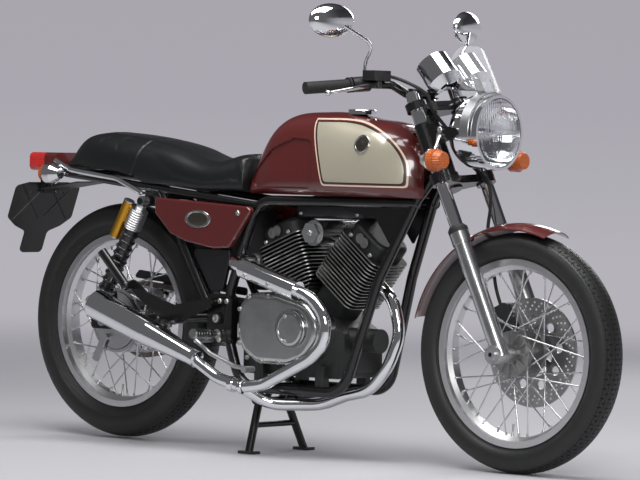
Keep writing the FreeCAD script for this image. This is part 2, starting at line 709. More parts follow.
def rounded_edges(points, radius, closed):
    """Straight runs through the points, turned at each corner by a tangent arc."""
    count = len(points)
    corners = range(count) if closed else range(1, count - 1)
    leave = dict()
    arcs = dict()
    for index in corners:
        here = points[index]
        back = points[index - 1] - here
        ahead = points[(index + 1) % count] - here
        turn = math.pi - back.getAngle(ahead)
        if turn < NEARLY_STRAIGHT or radius == 0:
            continue
        limit = RUN_REACH_SHARE * min(back.Length, ahead.Length)
        reach = min(radius * math.tan(turn / 2), limit)
        arc_radius = reach / math.tan(turn / 2)
        back.normalize()
        ahead.normalize()
        inward = back + ahead
        inward.normalize()
        middle = here + inward * (arc_radius / math.cos(turn / 2) - arc_radius)
        first = here + back * reach
        last = here + ahead * reach
        arcs[index] = Part.Arc(first, middle, last).toShape()
        leave[index] = (first, last)
    edges = []
    for index in range(count if closed else count - 1):
        following = (index + 1) % count
        start = leave[index][1] if index in leave else points[index]
        end = leave[following][0] if following in leave else points[following]
        if index in arcs:
            edges.append(arcs[index])
        if (end - start).Length > 0:
            edges.append(Part.LineSegment(start, end).toShape())
    return edges


def tube(points, radius, bend):
    """A round tube along straight runs and tangent bends."""
    path = Part.Wire(rounded_edges(points, bend, False))
    ring = Part.Circle(points[0], points[1] - points[0], radius).toShape()
    return path.makePipeShell([Part.Wire([ring])], True, False)


def side_plate(places, y_from, y_to, radius):
    """A flat plate seen from the side, with round corners, given as (x, z) places."""
    points = [V(x, y_from, z) for x, z in places]
    outline = Part.Wire(rounded_edges(points, radius, True))
    return Part.Face(outline).extrude(Y_AXIS * (y_to - y_from))


def flat_plate(places, z_from, z_to, radius):
    """A flat plate seen from above, given as (x, y) places."""
    points = [V(x, y, z_from) for x, y in places]
    outline = Part.Wire(rounded_edges(points, radius, True))
    return Part.Face(outline).extrude(Z_AXIS * (z_to - z_from))


def turned(centre, profile):
    """A ring turned about a wheel's axle from (radius, y) corners."""
    points = [centre + V(0, y, radius) for radius, y in profile]
    outline = Part.makePolygon(points + points[:1])
    return Part.Face(outline).revolve(centre, Y_AXIS, FULL_TURN)


def round_pattern(shape, centre, axis, count):
    copies = []
    for index in range(count):
        copy = shape.copy()
        copy.rotate(centre, axis, FULL_TURN * index / count)
        copies.append(copy)
    return copies


def tyre(centre, radius, width, rim_half_width):
    """A hollow tyre with beads inside the rim flanges, bulging walls and a round crown."""
    seat = RIM_FLANGE_RADIUS - RIM_FLANGE_HEIGHT + SEAT_GAP
    bead_y = rim_half_width - RIM_WALL - SEAT_GAP
    bead_top = seat + TYRE_BEAD_HEIGHT
    depth = radius - bead_top
    walls = []
    for inset in (0, TYRE_WALL):
        half = width / 2 - inset
        side_radius = bead_top + WALL_BULGE_SHARE * depth
        shoulder_y = width / 2 * SHOULDER_Y_SHARE - inset * SHOULDER_INSET_SHARE
        shoulder_radius = radius - depth * SHOULDER_DROP_SHARE - inset
        low = centre + V(0, -(bead_y - inset), bead_top)
        side = centre + V(0, -half, side_radius)
        shoulder = centre + V(0, -shoulder_y, shoulder_radius)
        crown = centre + V(0, 0, radius - inset)
        other_shoulder = mirror_point(shoulder)
        other_side = mirror_point(side)
        other_low = mirror_point(low)
        walls.append((low, [Part.Arc(low, side, shoulder).toShape(),
                            Part.Arc(shoulder, crown, other_shoulder).toShape(),
                            Part.Arc(other_shoulder, other_side, other_low).toShape()], other_low))
    outer_low, outer, outer_end = walls[0]
    inner_low, inner, inner_end = walls[1]
    feet = []
    for start, end in ((inner_low, outer_low), (outer_end, inner_end)):
        start_foot = V(start.x, start.y, centre.z + seat)
        end_foot = V(end.x, end.y, centre.z + seat)
        for first, last in ((start, start_foot), (start_foot, end_foot), (end_foot, end)):
            feet.append(Part.LineSegment(first, last).toShape())
    edges = Part.sortEdges(outer + inner + feet)[0]
    return Part.Face(Part.Wire(edges)).revolve(centre, Y_AXIS, FULL_TURN)


def mirror_point(point):
    return V(point.x, -point.y, point.z)


def rim(centre, half_width):
    """A rolled rim: two flanges, the bead seats and the deep well that takes the spokes."""
    seat = RIM_FLANGE_RADIUS - RIM_FLANGE_HEIGHT
    well = seat - RIM_WELL_DEPTH
    slope_y = RIM_WELL_HALF_WIDTH + RIM_SHOULDER
    outer = [(RIM_FLANGE_RADIUS, half_width), (RIM_FLANGE_RADIUS, half_width - RIM_WALL),
             (seat, half_width - RIM_WALL), (seat, slope_y), (well, RIM_WELL_HALF_WIDTH)]
    inner = [(well - RIM_WALL, RIM_WELL_HALF_WIDTH - RIM_WALL / 2),
             (seat - RIM_WALL, slope_y - RIM_WALL / 2), (seat - RIM_WALL, half_width)]
    profile = outer + [(radius, -y) for radius, y in reversed(outer)]
    profile += [(radius, -y) for radius, y in reversed(inner)] + inner
    return turned(centre, profile)


def spokes(centre, left_hub_radius, left_y, right_hub_radius, right_y):
    """Crossed spokes: every other one on a side leads and the next trails."""
    rim_radius = RIM_FLANGE_RADIUS - RIM_FLANGE_HEIGHT - RIM_WELL_DEPTH - RIM_WALL / 2
    bars = []
    for index in range(2 * SPOKES_PER_SIDE):
        side = 1 if index % 2 == 0 else -1
        lead = 1 if (index // 2) % 2 == 0 else -1
        rim_angle = math.pi * index / SPOKES_PER_SIDE
        hub_angle = rim_angle - lead * math.radians(SPOKE_LEAN_DEG)
        hub_radius = left_hub_radius if side == 1 else right_hub_radius
        flange_y = left_y if side == 1 else right_y
        hub_y = flange_y + side * lead * SPOKE_HEAD_STANDOFF
        rim_y = side * (SPOKE_RIM_OUTER_Y if lead == 1 else SPOKE_RIM_INNER_Y)
        start = centre + V(math.sin(hub_angle) * hub_radius, hub_y, math.cos(hub_angle) * hub_radius)
        end = centre + V(math.sin(rim_angle) * rim_radius, rim_y, math.cos(rim_angle) * rim_radius)
        bars.append(rod(start, end, SPOKE_RADIUS))
    return bars


def front_wheel():
    """Rim, spokes and hub of the front wheel, with a ribbed right side and a spindle bore."""
    half = FRONT_HUB_HALF_WIDTH
    flange = HUB_FLANGE_WALL / 2
    head = SPOKE_HEAD_STANDOFF + SPOKE_RADIUS
    profile = [(0, -half), (FRONT_HUB_RADIUS, -half)]
    for y in (-FRONT_FLANGE_Y, FRONT_FLANGE_Y):
        profile += [(FRONT_HUB_RADIUS, y - head), (FRONT_FLANGE_RADIUS, y - head),
                    (FRONT_FLANGE_RADIUS, y + head), (FRONT_HUB_RADIUS, y + head)]
    profile += [(FRONT_HUB_RADIUS, half), (0, half)]
    hub = turned(FRONT_AXLE, profile)
    rib = block(WHEELBASE - HUB_RIB_WALL / 2, WHEELBASE + HUB_RIB_WALL / 2,
                -half, -FRONT_FLANGE_Y - flange,
                FRONT_TYRE_RADIUS + AXLE_HEAD_RADIUS + RIM_WALL,
                FRONT_TYRE_RADIUS + FRONT_FLANGE_RADIUS - RIM_WALL)
    ribs = round_pattern(rib, FRONT_AXLE, Y_AXIS, HUB_RIB_COUNT)
    bars = spokes(FRONT_AXLE, FRONT_FLANGE_RADIUS - SPOKE_ROOT, FRONT_FLANGE_Y,
                  FRONT_FLANGE_RADIUS - SPOKE_ROOT, -FRONT_FLANGE_Y)
    wheel = joined([rim(FRONT_AXLE, FRONT_RIM_HALF_WIDTH), hub] + ribs + bars)
    return wheel.cut(cross_rod(WHEELBASE, FRONT_TYRE_RADIUS, -half - CUT_OVERRUN, half + CUT_OVERRUN,
                               AXLE_RADIUS + RUN_FIT))


def rear_wheel():
    """Rim, spokes, drum hub and sprocket of the rear wheel."""
    inner_y = REAR_DRUM_INNER_Y
    head = SPOKE_HEAD_STANDOFF + SPOKE_RADIUS
    sprocket_y = SPROCKET_Y - SPROCKET_THICKNESS / 2
    drum_floor = -(REAR_DRUM_OUTER_Y - BRAKE_PANEL_DEPTH - BRAKE_PANEL_GAP)
    profile = [(0, drum_floor), (REAR_DRUM_RADIUS - REAR_DRUM_WALL, drum_floor),
               (REAR_DRUM_RADIUS - REAR_DRUM_WALL, -REAR_DRUM_OUTER_Y),
               (REAR_DRUM_RADIUS, -REAR_DRUM_OUTER_Y), (REAR_DRUM_RADIUS, -inner_y),
               (REAR_HUB_RADIUS, inner_y), (REAR_HUB_RADIUS, REAR_FLANGE_Y - head),
               (REAR_FLANGE_RADIUS, REAR_FLANGE_Y - head), (REAR_FLANGE_RADIUS, REAR_FLANGE_Y + head),
               (REAR_HUB_RADIUS, REAR_FLANGE_Y + head), (REAR_HUB_RADIUS, sprocket_y), (0, sprocket_y)]
    hub = turned(REAR_AXLE, profile)
    bars = spokes(REAR_AXLE, REAR_FLANGE_RADIUS - SPOKE_ROOT, REAR_FLANGE_Y,
                  REAR_DRUM_RADIUS - SPOKE_ROOT, -(REAR_DRUM_OUTER_Y - REAR_DRUM_WALL - SPOKE_ROOT))
    wheel = joined([rim(REAR_AXLE, REAR_RIM_HALF_WIDTH), hub, sprocket()] + bars)
    return wheel.cut(cross_rod(0, REAR_AXLE.z, -REAR_DRUM_OUTER_Y, SPROCKET_Y + SPROCKET_THICKNESS,
                               AXLE_RADIUS + RUN_FIT))


def pitch_radius(teeth):
    return CHAIN_PITCH / (2 * math.sin(math.pi / teeth))


def sprocket():
    """The driven sprocket: pointed teeth on a disc lightened by round windows."""
    radius = pitch_radius(SPROCKET_TEETH)
    points = []
    for index in range(2 * SPROCKET_TEETH):
        angle = math.pi * index / SPROCKET_TEETH
        reach = radius + (SPROCKET_TIP_RISE if index % 2 == 0 else -SPROCKET_ROOT_DROP)
        points.append(REAR_AXLE + V(math.sin(angle) * reach, SPROCKET_Y - SPROCKET_THICKNESS / 2,
                                    math.cos(angle) * reach))
    disc = Part.Face(Part.makePolygon(points + points[:1])).extrude(Y_AXIS * SPROCKET_THICKNESS)
    window_z = REAR_AXLE.z + (REAR_HUB_RADIUS + radius) / 2
    window = cross_rod(0, window_z, SPROCKET_Y - SPROCKET_THICKNESS, SPROCKET_Y + SPROCKET_THICKNESS,
                       SPROCKET_WINDOW_RADIUS)
    return disc.cut(round_pattern(window, REAR_AXLE, Y_AXIS, SPROCKET_WINDOW_COUNT))


def brake_disc():
    """The front disc with its ring of round windows, on a six-armed carrier on the left of the hub."""
    centre = FRONT_AXLE + Y_AXIS * DISC_Y
    inner = DISC_RADIUS - DISC_BAND_WIDTH
    band = rod(centre, centre + Y_AXIS * DISC_THICKNESS, DISC_RADIUS)
    band = band.cut(rod(centre, centre + Y_AXIS * DISC_THICKNESS, inner))
    window = cross_rod(WHEELBASE, FRONT_TYRE_RADIUS + DISC_WINDOW_AT, DISC_Y, DISC_Y + DISC_THICKNESS,
                       DISC_WINDOW_RADIUS)
    band = band.cut(round_pattern(window, FRONT_AXLE, Y_AXIS, DISC_WINDOW_COUNT))
    carrier_start = FRONT_AXLE + Y_AXIS * FRONT_HUB_HALF_WIDTH
    carrier = rod(carrier_start, centre + Y_AXIS * DISC_THICKNESS, DISC_CARRIER_RADIUS)
    arm = block(WHEELBASE - DISC_ARM_WIDTH / 2, WHEELBASE + DISC_ARM_WIDTH / 2,
                DISC_Y, DISC_Y + DISC_THICKNESS,
                FRONT_TYRE_RADIUS + DISC_CARRIER_RADIUS / 2, FRONT_TYRE_RADIUS + inner + SPOKE_ROOT)
    disc = joined([band, carrier] + round_pattern(arm, FRONT_AXLE, Y_AXIS, DISC_ARM_COUNT))
    bore = rod(FRONT_AXLE, FRONT_AXLE + Y_AXIS * (DISC_Y + DISC_BAND_WIDTH), AXLE_HEAD_RADIUS + SEAT_GAP)
    return disc.cut(bore)


def on_fork(shape, along):
    """Moves a piece modelled about the origin, with z up the fork tubes, to its place on the fork."""
    turn = FreeCAD.Rotation(Y_AXIS, -CASTER_DEG)
    shape.Placement = FreeCAD.Placement(fork_point(along, 0, 0), turn)
    return shape


def yoke(depth, neck_radius):
    """A yoke about the origin: two fork clamps, a neck boss and the webs between them."""
    clamp = FORK_TUBE_RADIUS + YOKE_CLAMP_WALL
    bodies = [Part.makeCylinder(neck_radius, depth, V(-FORK_OFFSET, 0, -depth / 2))]
    for side in (-1, 1):
        bodies.append(Part.makeCylinder(clamp, depth, V(0, side * FORK_HALF_SPACING, -depth / 2)))
    half_depth = depth / 2 - YOKE_CLAMP_WALL / 2
    outline = [(-FORK_OFFSET - neck_radius / 2, -neck_radius / 2), (-clamp / 2, -FORK_HALF_SPACING),
               (clamp / 2, -FORK_HALF_SPACING), (0, 0), (clamp / 2, FORK_HALF_SPACING),
               (-clamp / 2, FORK_HALF_SPACING), (-FORK_OFFSET - neck_radius / 2, neck_radius / 2)]
    bodies.append(flat_plate(outline, -half_depth, half_depth, YOKE_CLAMP_WALL))
    return joined(bodies)


def yoke_bores(depth):
    bores = []
    for side in (-1, 1):
        foot = V(0, side * FORK_HALF_SPACING, -depth)
        bores.append(Part.makeCylinder(FORK_TUBE_RADIUS + RUN_FIT, 2 * depth, foot))
    return bores


def lower_yoke():
    """The lower yoke carries the stem on which the whole front end turns."""
    body = yoke(LOWER_YOKE_DEPTH, YOKE_NECK_RADIUS)
    stem_length = UPPER_YOKE_AT - LOWER_YOKE_AT - UPPER_YOKE_DEPTH / 2
    stem = Part.makeCylinder(STEM_RADIUS, stem_length, V(-FORK_OFFSET, 0, 0))
    body = joined([body, stem]).cut(yoke_bores(LOWER_YOKE_DEPTH))
    return on_fork(body, LOWER_YOKE_AT)


def upper_yoke():
    """The upper yoke, with its stem nut and the two risers that clamp the handlebar."""
    half = UPPER_YOKE_DEPTH / 2
    body = yoke(UPPER_YOKE_DEPTH, YOKE_NECK_RADIUS - YOKE_CLAMP_WALL / 2)
    nut = Part.makeCylinder(STEM_NUT_RADIUS, STEM_NUT_HEIGHT, V(-FORK_OFFSET, 0, half))
    bar_up = BAR_AT - UPPER_YOKE_AT
    risers = []
    for side in (-1, 1):
        y = side * BAR_CLAMP_Y - BAR_CLAMP_WIDTH / 2
        post = Part.makeBox(BAR_CLAMP_RADIUS * 2, BAR_CLAMP_WIDTH, bar_up,
                            V(-BAR_BEHIND - BAR_CLAMP_RADIUS, y, 0))
        ring = Part.makeCylinder(BAR_CLAMP_RADIUS, BAR_CLAMP_WIDTH, V(-BAR_BEHIND, y, bar_up), Y_AXIS)
        risers += [post, ring]
    bar = Part.makeCylinder(BAR_RADIUS + RUN_FIT, 2 * BAR_CENTRE_Y, V(-BAR_BEHIND, -BAR_CENTRE_Y, bar_up),
                            Y_AXIS)
    body = joined([body, nut] + risers).cut(yoke_bores(UPPER_YOKE_DEPTH) + [bar])
    return on_fork(body, UPPER_YOKE_AT)


def fork_tube():
    side = FORK_HALF_SPACING
    start = fork_point(SLIDER_TOP_AT - SLIDER_BORE_DEPTH + SEAT_GAP, 0, side)
    top = fork_point(FORK_TUBE_TOP_AT, 0, side)
    cap = fork_point(FORK_TUBE_TOP_AT + FORK_CAP_HEIGHT, 0, side)
    return joined([rod(start, top, FORK_TUBE_RADIUS), rod(top, cap, FORK_CAP_RADIUS)])


def fork_slider():
    """A slider: a drawn body with a seal collar, a guard lug and the foot that holds the spindle."""
    side = FORK_HALF_SPACING
    neck = fork_point(SLIDER_TOP_AT - SLIDER_COLLAR_LENGTH, 0, side)
    top = fork_point(SLIDER_TOP_AT, 0, side)
    body = rod(fork_point(-SLIDER_FOOT_DROP, 0, side), neck, SLIDER_RADIUS)
    collar = rod(neck, top, SLIDER_COLLAR_RADIUS)
    boss = cross_rod(WHEELBASE, FRONT_TYRE_RADIUS, side - SLIDER_BOSS_HALF_WIDTH,
                     side + SLIDER_BOSS_HALF_WIDTH, SLIDER_FOOT_RADIUS)
    bore = rod(fork_point(SLIDER_TOP_AT - SLIDER_BORE_DEPTH, 0, side),
               fork_point(SLIDER_TOP_AT + CUT_OVERRUN, 0, side), FORK_TUBE_RADIUS + RUN_FIT)
    spindle = cross_rod(WHEELBASE, FRONT_TYRE_RADIUS, 0, side + 2 * SLIDER_RADIUS, AXLE_RADIUS + RUN_FIT)
    return joined([body, collar, boss]).cut([bore, spindle])


def front_axle():
    """The spindle: a shouldered bar with spacers against the hub and a hollow head on the right."""
    reach = FORK_HALF_SPACING + SLIDER_BOSS_HALF_WIDTH
    inner = FORK_HALF_SPACING - SLIDER_BOSS_HALF_WIDTH
    z = FRONT_TYRE_RADIUS
    shaft = cross_rod(WHEELBASE, z, -reach - AXLE_HEAD_LENGTH, reach + AXLE_HEAD_LENGTH, AXLE_RADIUS)
    head = cross_rod(WHEELBASE, z, -reach - AXLE_HEAD_LENGTH, -reach - SEAT_GAP, AXLE_HEAD_RADIUS)
    nut = cross_rod(WHEELBASE, z, reach + SEAT_GAP, reach + AXLE_HEAD_LENGTH, AXLE_HEAD_RADIUS)
    left = cross_rod(WHEELBASE, z, FRONT_HUB_HALF_WIDTH + SEAT_GAP, inner - SEAT_GAP, AXLE_HEAD_RADIUS)
    right = cross_rod(WHEELBASE, z, SEAT_GAP - inner, -FRONT_HUB_HALF_WIDTH - SEAT_GAP, AXLE_HEAD_RADIUS)
    bore = cross_rod(WHEELBASE, z, -reach - AXLE_HEAD_LENGTH - CUT_OVERRUN,
                     AXLE_BORE_DEPTH - reach - AXLE_HEAD_LENGTH, AXLE_BORE_RADIUS)
    return joined([shaft, head, nut, left, right]).cut(bore)


def bar_point(back, rise, y):
    centre = fork_point(BAR_AT, -BAR_BEHIND, 0)
    return centre + V(-back, y, rise)


def bar_at(y):
    """The bar's centre at a distance y along its straight outer run."""
    share = (y - BAR_SHOULDER_Y) / (BAR_END_Y - BAR_SHOULDER_Y)
    back = BAR_SHOULDER_BACK + (BAR_END_BACK - BAR_SHOULDER_BACK) * share
    return bar_point(back, BAR_RISE + (BAR_END_RISE - BAR_RISE) * share, y)


def bar_tube(radius):
    half = [bar_point(0, 0, 0), bar_point(0, 0, BAR_CENTRE_Y), bar_point(BAR_ELBOW_BACK, BAR_RISE,
                                                                         BAR_ELBOW_Y),
            bar_at(BAR_SHOULDER_Y), bar_at(BAR_END_Y)]
    right = [mirror_point(point) for point in reversed(half[1:])]
    return tube(right + half[1:], radius, BAR_BEND)


def handlebar():
    return bar_tube(BAR_RADIUS)


def grip():
    """A rubber grip: a closed sleeve with a flange at its inner end."""
    start = bar_at(GRIP_START_Y)
    end = bar_at(BAR_END_Y)
    along = end - start
    along.normalize()
    sleeve = rod(start, end + along * GRIP_END_WALL, GRIP_RADIUS)
    flange = rod(start, start + along * GRIP_FLANGE_WALL, GRIP_FLANGE_RADIUS)
    bore = rod(start - along * CUT_OVERRUN, end + along * SEAT_GAP, BAR_RADIUS + SEAT_GAP)
    return joined([sleeve, flange]).cut(bore)


def hand_control(with_master):
    """A switch housing on the bar, its lever perch and the ball-ended lever in front of the grip."""
    inner = bar_at(SWITCH_START_Y + SWITCH_RADIUS)
    outer = bar_at(SWITCH_END_Y)
    pod = rod(inner, outer, SWITCH_RADIUS)
    pivot = inner + X_AXIS * LEVER_PIVOT_AHEAD
    perch = rod(inner, pivot, LEVER_PERCH_RADIUS)
    knuckle = rod(pivot - Z_AXIS * LEVER_KNUCKLE_RADIUS, pivot + Z_AXIS * LEVER_KNUCKLE_RADIUS,
                  LEVER_KNUCKLE_RADIUS)
    end = bar_at(LEVER_END_Y) + V(LEVER_REACH_AHEAD, 0, -LEVER_DROP)
    lever = taper(pivot, end, LEVER_RADIUS + LEVER_BALL_RADIUS / 4, LEVER_RADIUS)
    ball = Part.makeSphere(LEVER_BALL_RADIUS, end)
    bodies = [pod, perch, knuckle, lever, ball]
    if with_master:
        corner = inner + V(LEVER_BALL_RADIUS, -MASTER_LENGTH / 2, LEVER_BALL_RADIUS)
        bodies.append(Part.makeBox(MASTER_WIDTH, MASTER_LENGTH, MASTER_HEIGHT, corner))
    return joined(bodies).cut(bar_tube(BAR_RADIUS + SEAT_GAP))


def mirror():
    """A stalk from the switch housing and a shallow oval shell with its glass facing back."""
    foot = bar_at(MIRROR_FOOT_Y + SWITCH_RADIUS) + Z_AXIS * (SWITCH_RADIUS - LEVER_RADIUS)
    knee = foot + Z_AXIS * SWITCH_RADIUS * 2
    elbow = V(MIRROR_ELBOW_X, MIRROR_ELBOW_Y, MIRROR_ELBOW_Z)
    centre = V(MIRROR_X, MIRROR_Y, MIRROR_Z)
    front = centre + X_AXIS * MIRROR_DEPTH / 2
    stem = tube([foot + Z_AXIS * (LEVER_RADIUS + 3 * SEAT_GAP), knee, elbow, front], MIRROR_STEM_RADIUS,
                MIRROR_STEM_BEND)
    shell = Part.makeSphere(1)
    stretch = FreeCAD.Matrix()
    stretch.scale(MIRROR_DEPTH, MIRROR_HALF_WIDTH, MIRROR_HALF_HEIGHT)
    shell = shell.transformGeometry(stretch)
    shell.translate(centre)
    back = Part.makeBox(MIRROR_DEPTH, 2 * MIRROR_HALF_WIDTH, 2 * MIRROR_HALF_HEIGHT,
                        centre - V(MIRROR_DEPTH, MIRROR_HALF_WIDTH, MIRROR_HALF_HEIGHT))
    housing = shell.cut(back)
    housing.rotate(centre, Z_AXIS, MIRROR_YAW_DEG)
    return joined([housing, stem])


def headlamp_shell():
    """A round bowl with a deeper front rim, open in front for the lens."""
    rim_start = LAMP_FACE_X - LAMP_RIM_LENGTH
    dome_start = LAMP_X - LAMP_RIM_LENGTH
    tail = rim_start - LAMP_DEPTH
    wall = LAMP_SHELL_WALL
    edges = []
    for inset in (0, wall):
        radius = LAMP_RADIUS - inset
        back = V(tail + inset, 0, LAMP_Z)
        belly = V(tail + inset + (dome_start - tail) * DOME_X_SHARE, 0, LAMP_Z + radius * DOME_RISE_SHARE)
        shoulder = V(dome_start, 0, LAMP_Z + radius)
        edges.append(Part.Arc(back, belly, shoulder).toShape())
    rim = [(dome_start, LAMP_RADIUS), (rim_start, LAMP_RADIUS), (rim_start, LAMP_RIM_RADIUS),
           (LAMP_FACE_X, LAMP_RIM_RADIUS), (LAMP_FACE_X, LAMP_RADIUS - wall), (dome_start,
                                                                               LAMP_RADIUS - wall)]
    corners = [V(x, 0, LAMP_Z + radius) for x, radius in rim]
    edges += Part.makePolygon(corners).Edges
    edges.append(Part.LineSegment(V(tail, 0, LAMP_Z), V(tail + wall, 0, LAMP_Z)).toShape())
    profile = Part.Face(Part.Wire(Part.sortEdges(edges)[0]))
    return profile.revolve(V(LAMP_X, 0, LAMP_Z), X_AXIS, FULL_TURN)


def headlamp_lens():
    radius = LAMP_RADIUS - LAMP_SHELL_WALL - SEAT_GAP
    start = V(LAMP_FACE_X - LAMP_LENS_WALL, 0, LAMP_Z)
    sphere_radius = (radius ** 2 + LAMP_LENS_SAG ** 2) / (2 * LAMP_LENS_SAG)
    centre = V(LAMP_FACE_X + LAMP_LENS_SAG - sphere_radius, 0, LAMP_Z)
    drum = rod(start, start + X_AXIS * (LAMP_LENS_WALL + 2 * LAMP_LENS_SAG), radius)
    return drum.common(Part.makeSphere(sphere_radius, centre))


def headlamp_bracket():
    """An ear clamped round the fork tube that reaches forward to the lamp's side bolt."""
    side = FORK_HALF_SPACING
    sleeve = rod(fork_point(LAMP_EAR_LOW_AT, 0, side), fork_point(LAMP_EAR_HIGH_AT, 0, side),
                 FORK_TUBE_RADIUS + LAMP_EAR_WALL)
    low = fork_point(LAMP_EAR_LOW_AT, FORK_TUBE_RADIUS, side)
    high = fork_point(LAMP_EAR_HIGH_AT, FORK_TUBE_RADIUS, side)
    tip = LAMP_BOLT_HEAD_RADIUS
    inside = FORK_TUBE_RADIUS + LAMP_EAR_WALL / 2
    outline = [(low.x - inside, low.z), (LAMP_X, LAMP_Z - tip), (LAMP_X + 2 * tip, LAMP_Z),
               (LAMP_X, LAMP_Z + tip), (high.x - inside, high.z)]
    plate_y = LAMP_RIM_RADIUS + SEAT_GAP
    ear = side_plate(outline, plate_y, plate_y + LAMP_EAR_WALL, LAMP_EAR_WALL)
    bolt = cross_rod(LAMP_X, LAMP_Z, plate_y, plate_y + LAMP_EAR_WALL + LAMP_BOLT_RADIUS,
                     LAMP_BOLT_HEAD_RADIUS)
    pin = cross_rod(LAMP_X, LAMP_Z, LAMP_RADIUS + SEAT_GAP, plate_y, LAMP_BOLT_RADIUS)
    reach = CUT_OVERRUN * 2
    bore = rod(fork_point(LAMP_EAR_LOW_AT - reach, 0, side), fork_point(LAMP_EAR_HIGH_AT + reach, 0, side),
               FORK_TUBE_RADIUS + RUN_FIT)
    return joined([sleeve, ear, bolt, pin]).cut(bore)


def indicator(centre, lens_forward, stalk_from):
    """A round lamp: a deep bowl, a domed lens on its open side and the stalk that carries it."""
    ahead = X_AXIS * lens_forward
    face = centre + ahead * (INDICATOR_BODY_LENGTH / 2)
    bowl = taper(centre - ahead * (INDICATOR_BODY_LENGTH / 2), centre, INDICATOR_RADIUS / 2, INDICATOR_RADIUS)
    drum = rod(centre, face, INDICATOR_RADIUS)
    lens = taper(face, face + ahead * INDICATOR_LENS_LENGTH, INDICATOR_RADIUS - LAMP_SHELL_WALL,
                 INDICATOR_LENS_END_RADIUS)
    stalk = rod(stalk_from, centre, INDICATOR_STALK_RADIUS)
    foot = rod(stalk_from, stalk_from + Y_AXIS * INDICATOR_FOOT_WALL, INDICATOR_FOOT_RADIUS)
    behind = block(-CUT_OVERRUN * 2, CUT_OVERRUN * 2, -CUT_OVERRUN * 2, 0, -CUT_OVERRUN * 2, CUT_OVERRUN * 2)
    behind.translate(stalk_from)
    return joined([bowl, drum, lens, stalk.cut(behind), foot])


def front_indicator():
    """The left front indicator, on the outer face of the headlamp's ear."""
    centre = V(FRONT_INDICATOR_X, FRONT_INDICATOR_Y, FRONT_INDICATOR_Z)
    foot = V(FRONT_STALK_X, LAMP_RIM_RADIUS + LAMP_EAR_WALL + 2 * SEAT_GAP, FRONT_STALK_Z)
    return indicator(centre, 1, foot)


def arc_sheet(centre, radius, half_width, crown, wall, start_deg, end_deg):
    """A crowned sheet swept round an axle, from one angle above the forward line to another."""
    edges = []
    ends = []
    for inset in (0, wall):
        left = centre + V(0, -half_width, radius - crown - inset)
        top = centre + V(0, 0, radius - inset)
        right = centre + V(0, half_width, radius - crown - inset)
        edges.append(Part.Arc(left, top, right).toShape())
        ends.append((left, right))
    for outer, inner in zip(ends[0], ends[1]):
        edges.append(Part.LineSegment(outer, inner).toShape())
    face = Part.Face(Part.Wire(Part.sortEdges(edges)[0]))
    face.rotate(centre, Y_AXIS, QUARTER_TURN - start_deg)
    return face.revolve(centre, Y_AXIS * -1, end_deg - start_deg)


def front_mudguard():
    """A crowned blade over the front tyre, carried by a stud on each slider."""
    blade = arc_sheet(FRONT_AXLE, GUARD_RADIUS, GUARD_HALF_WIDTH, GUARD_CROWN, GUARD_WALL,
                      GUARD_FRONT_DEG, GUARD_REAR_DEG)
    studs = []
    for side in (-1, 1):
        at = fork_point(GUARD_STUD_AT, 0, side * (GUARD_HALF_WIDTH - GUARD_STAY_RADIUS))
        end = fork_point(GUARD_STUD_AT, 0, side * (FORK_HALF_SPACING - GUARD_STUD_STANDOFF))
        studs.append(rod(at, end, GUARD_STUD_RADIUS))
    return joined([blade] + studs)


def instrument(side):
    """A round chromed cup with a recessed face, standing on a boss from its bracket."""
    lean = math.radians(CUP_LEAN_DEG)
    face_way = V(-math.sin(lean), 0, math.cos(lean))
    centre = V(CUP_X, side * CUP_Y, CUP_Z)
    face = centre + face_way * (CUP_DEPTH / 2)
    waist = centre - face_way * (CUP_DEPTH / 4)
    foot = centre - face_way * (CUP_DEPTH / 2)
    barrel = rod(waist, face, CUP_RADIUS)
    body = joined([barrel, taper(foot, waist, CUP_FOOT_RADIUS, CUP_RADIUS)])
    recess = rod(face - face_way * CUP_GLASS_DEPTH, face + face_way * CUT_OVERRUN, CUP_RADIUS - CUP_RIM_WALL)
    boss_foot = fork_point(CUP_PLATE_AT + CUP_PLATE_WALL + SEAT_GAP, CUP_BOSS_AHEAD, side * CUP_Y)
    boss = rod(boss_foot, foot, CUP_BOSS_RADIUS)
    slab = Part.makeBox(4 * CUP_RADIUS, 8 * CUP_RADIUS, 4 * CUP_RADIUS,
                        V(0, -4 * CUP_RADIUS, CUP_PLATE_WALL + SEAT_GAP - 4 * CUP_RADIUS))
    return joined([body, boss]).cut([recess, on_fork(slab, CUP_PLATE_AT)])


def instrument_bracket():
    """A flat plate bolted on the upper yoke that reaches forward under the two cups."""
    half = CUP_Y + CUP_BOSS_RADIUS
    front = CUP_BOSS_AHEAD + CUP_BOSS_RADIUS
    outline = [(-CUP_PLATE_BACK, -CUP_PLATE_WAIST), (front / 2, -CUP_PLATE_WAIST), (front / 2, -half),
               (front, -half), (front, half), (front / 2, half), (front / 2, CUP_PLATE_WAIST),
               (-CUP_PLATE_BACK, CUP_PLATE_WAIST)]
    plate = flat_plate(outline, 0, CUP_PLATE_WALL, CUP_BOSS_RADIUS)
    return on_fork(plate, CUP_PLATE_AT)


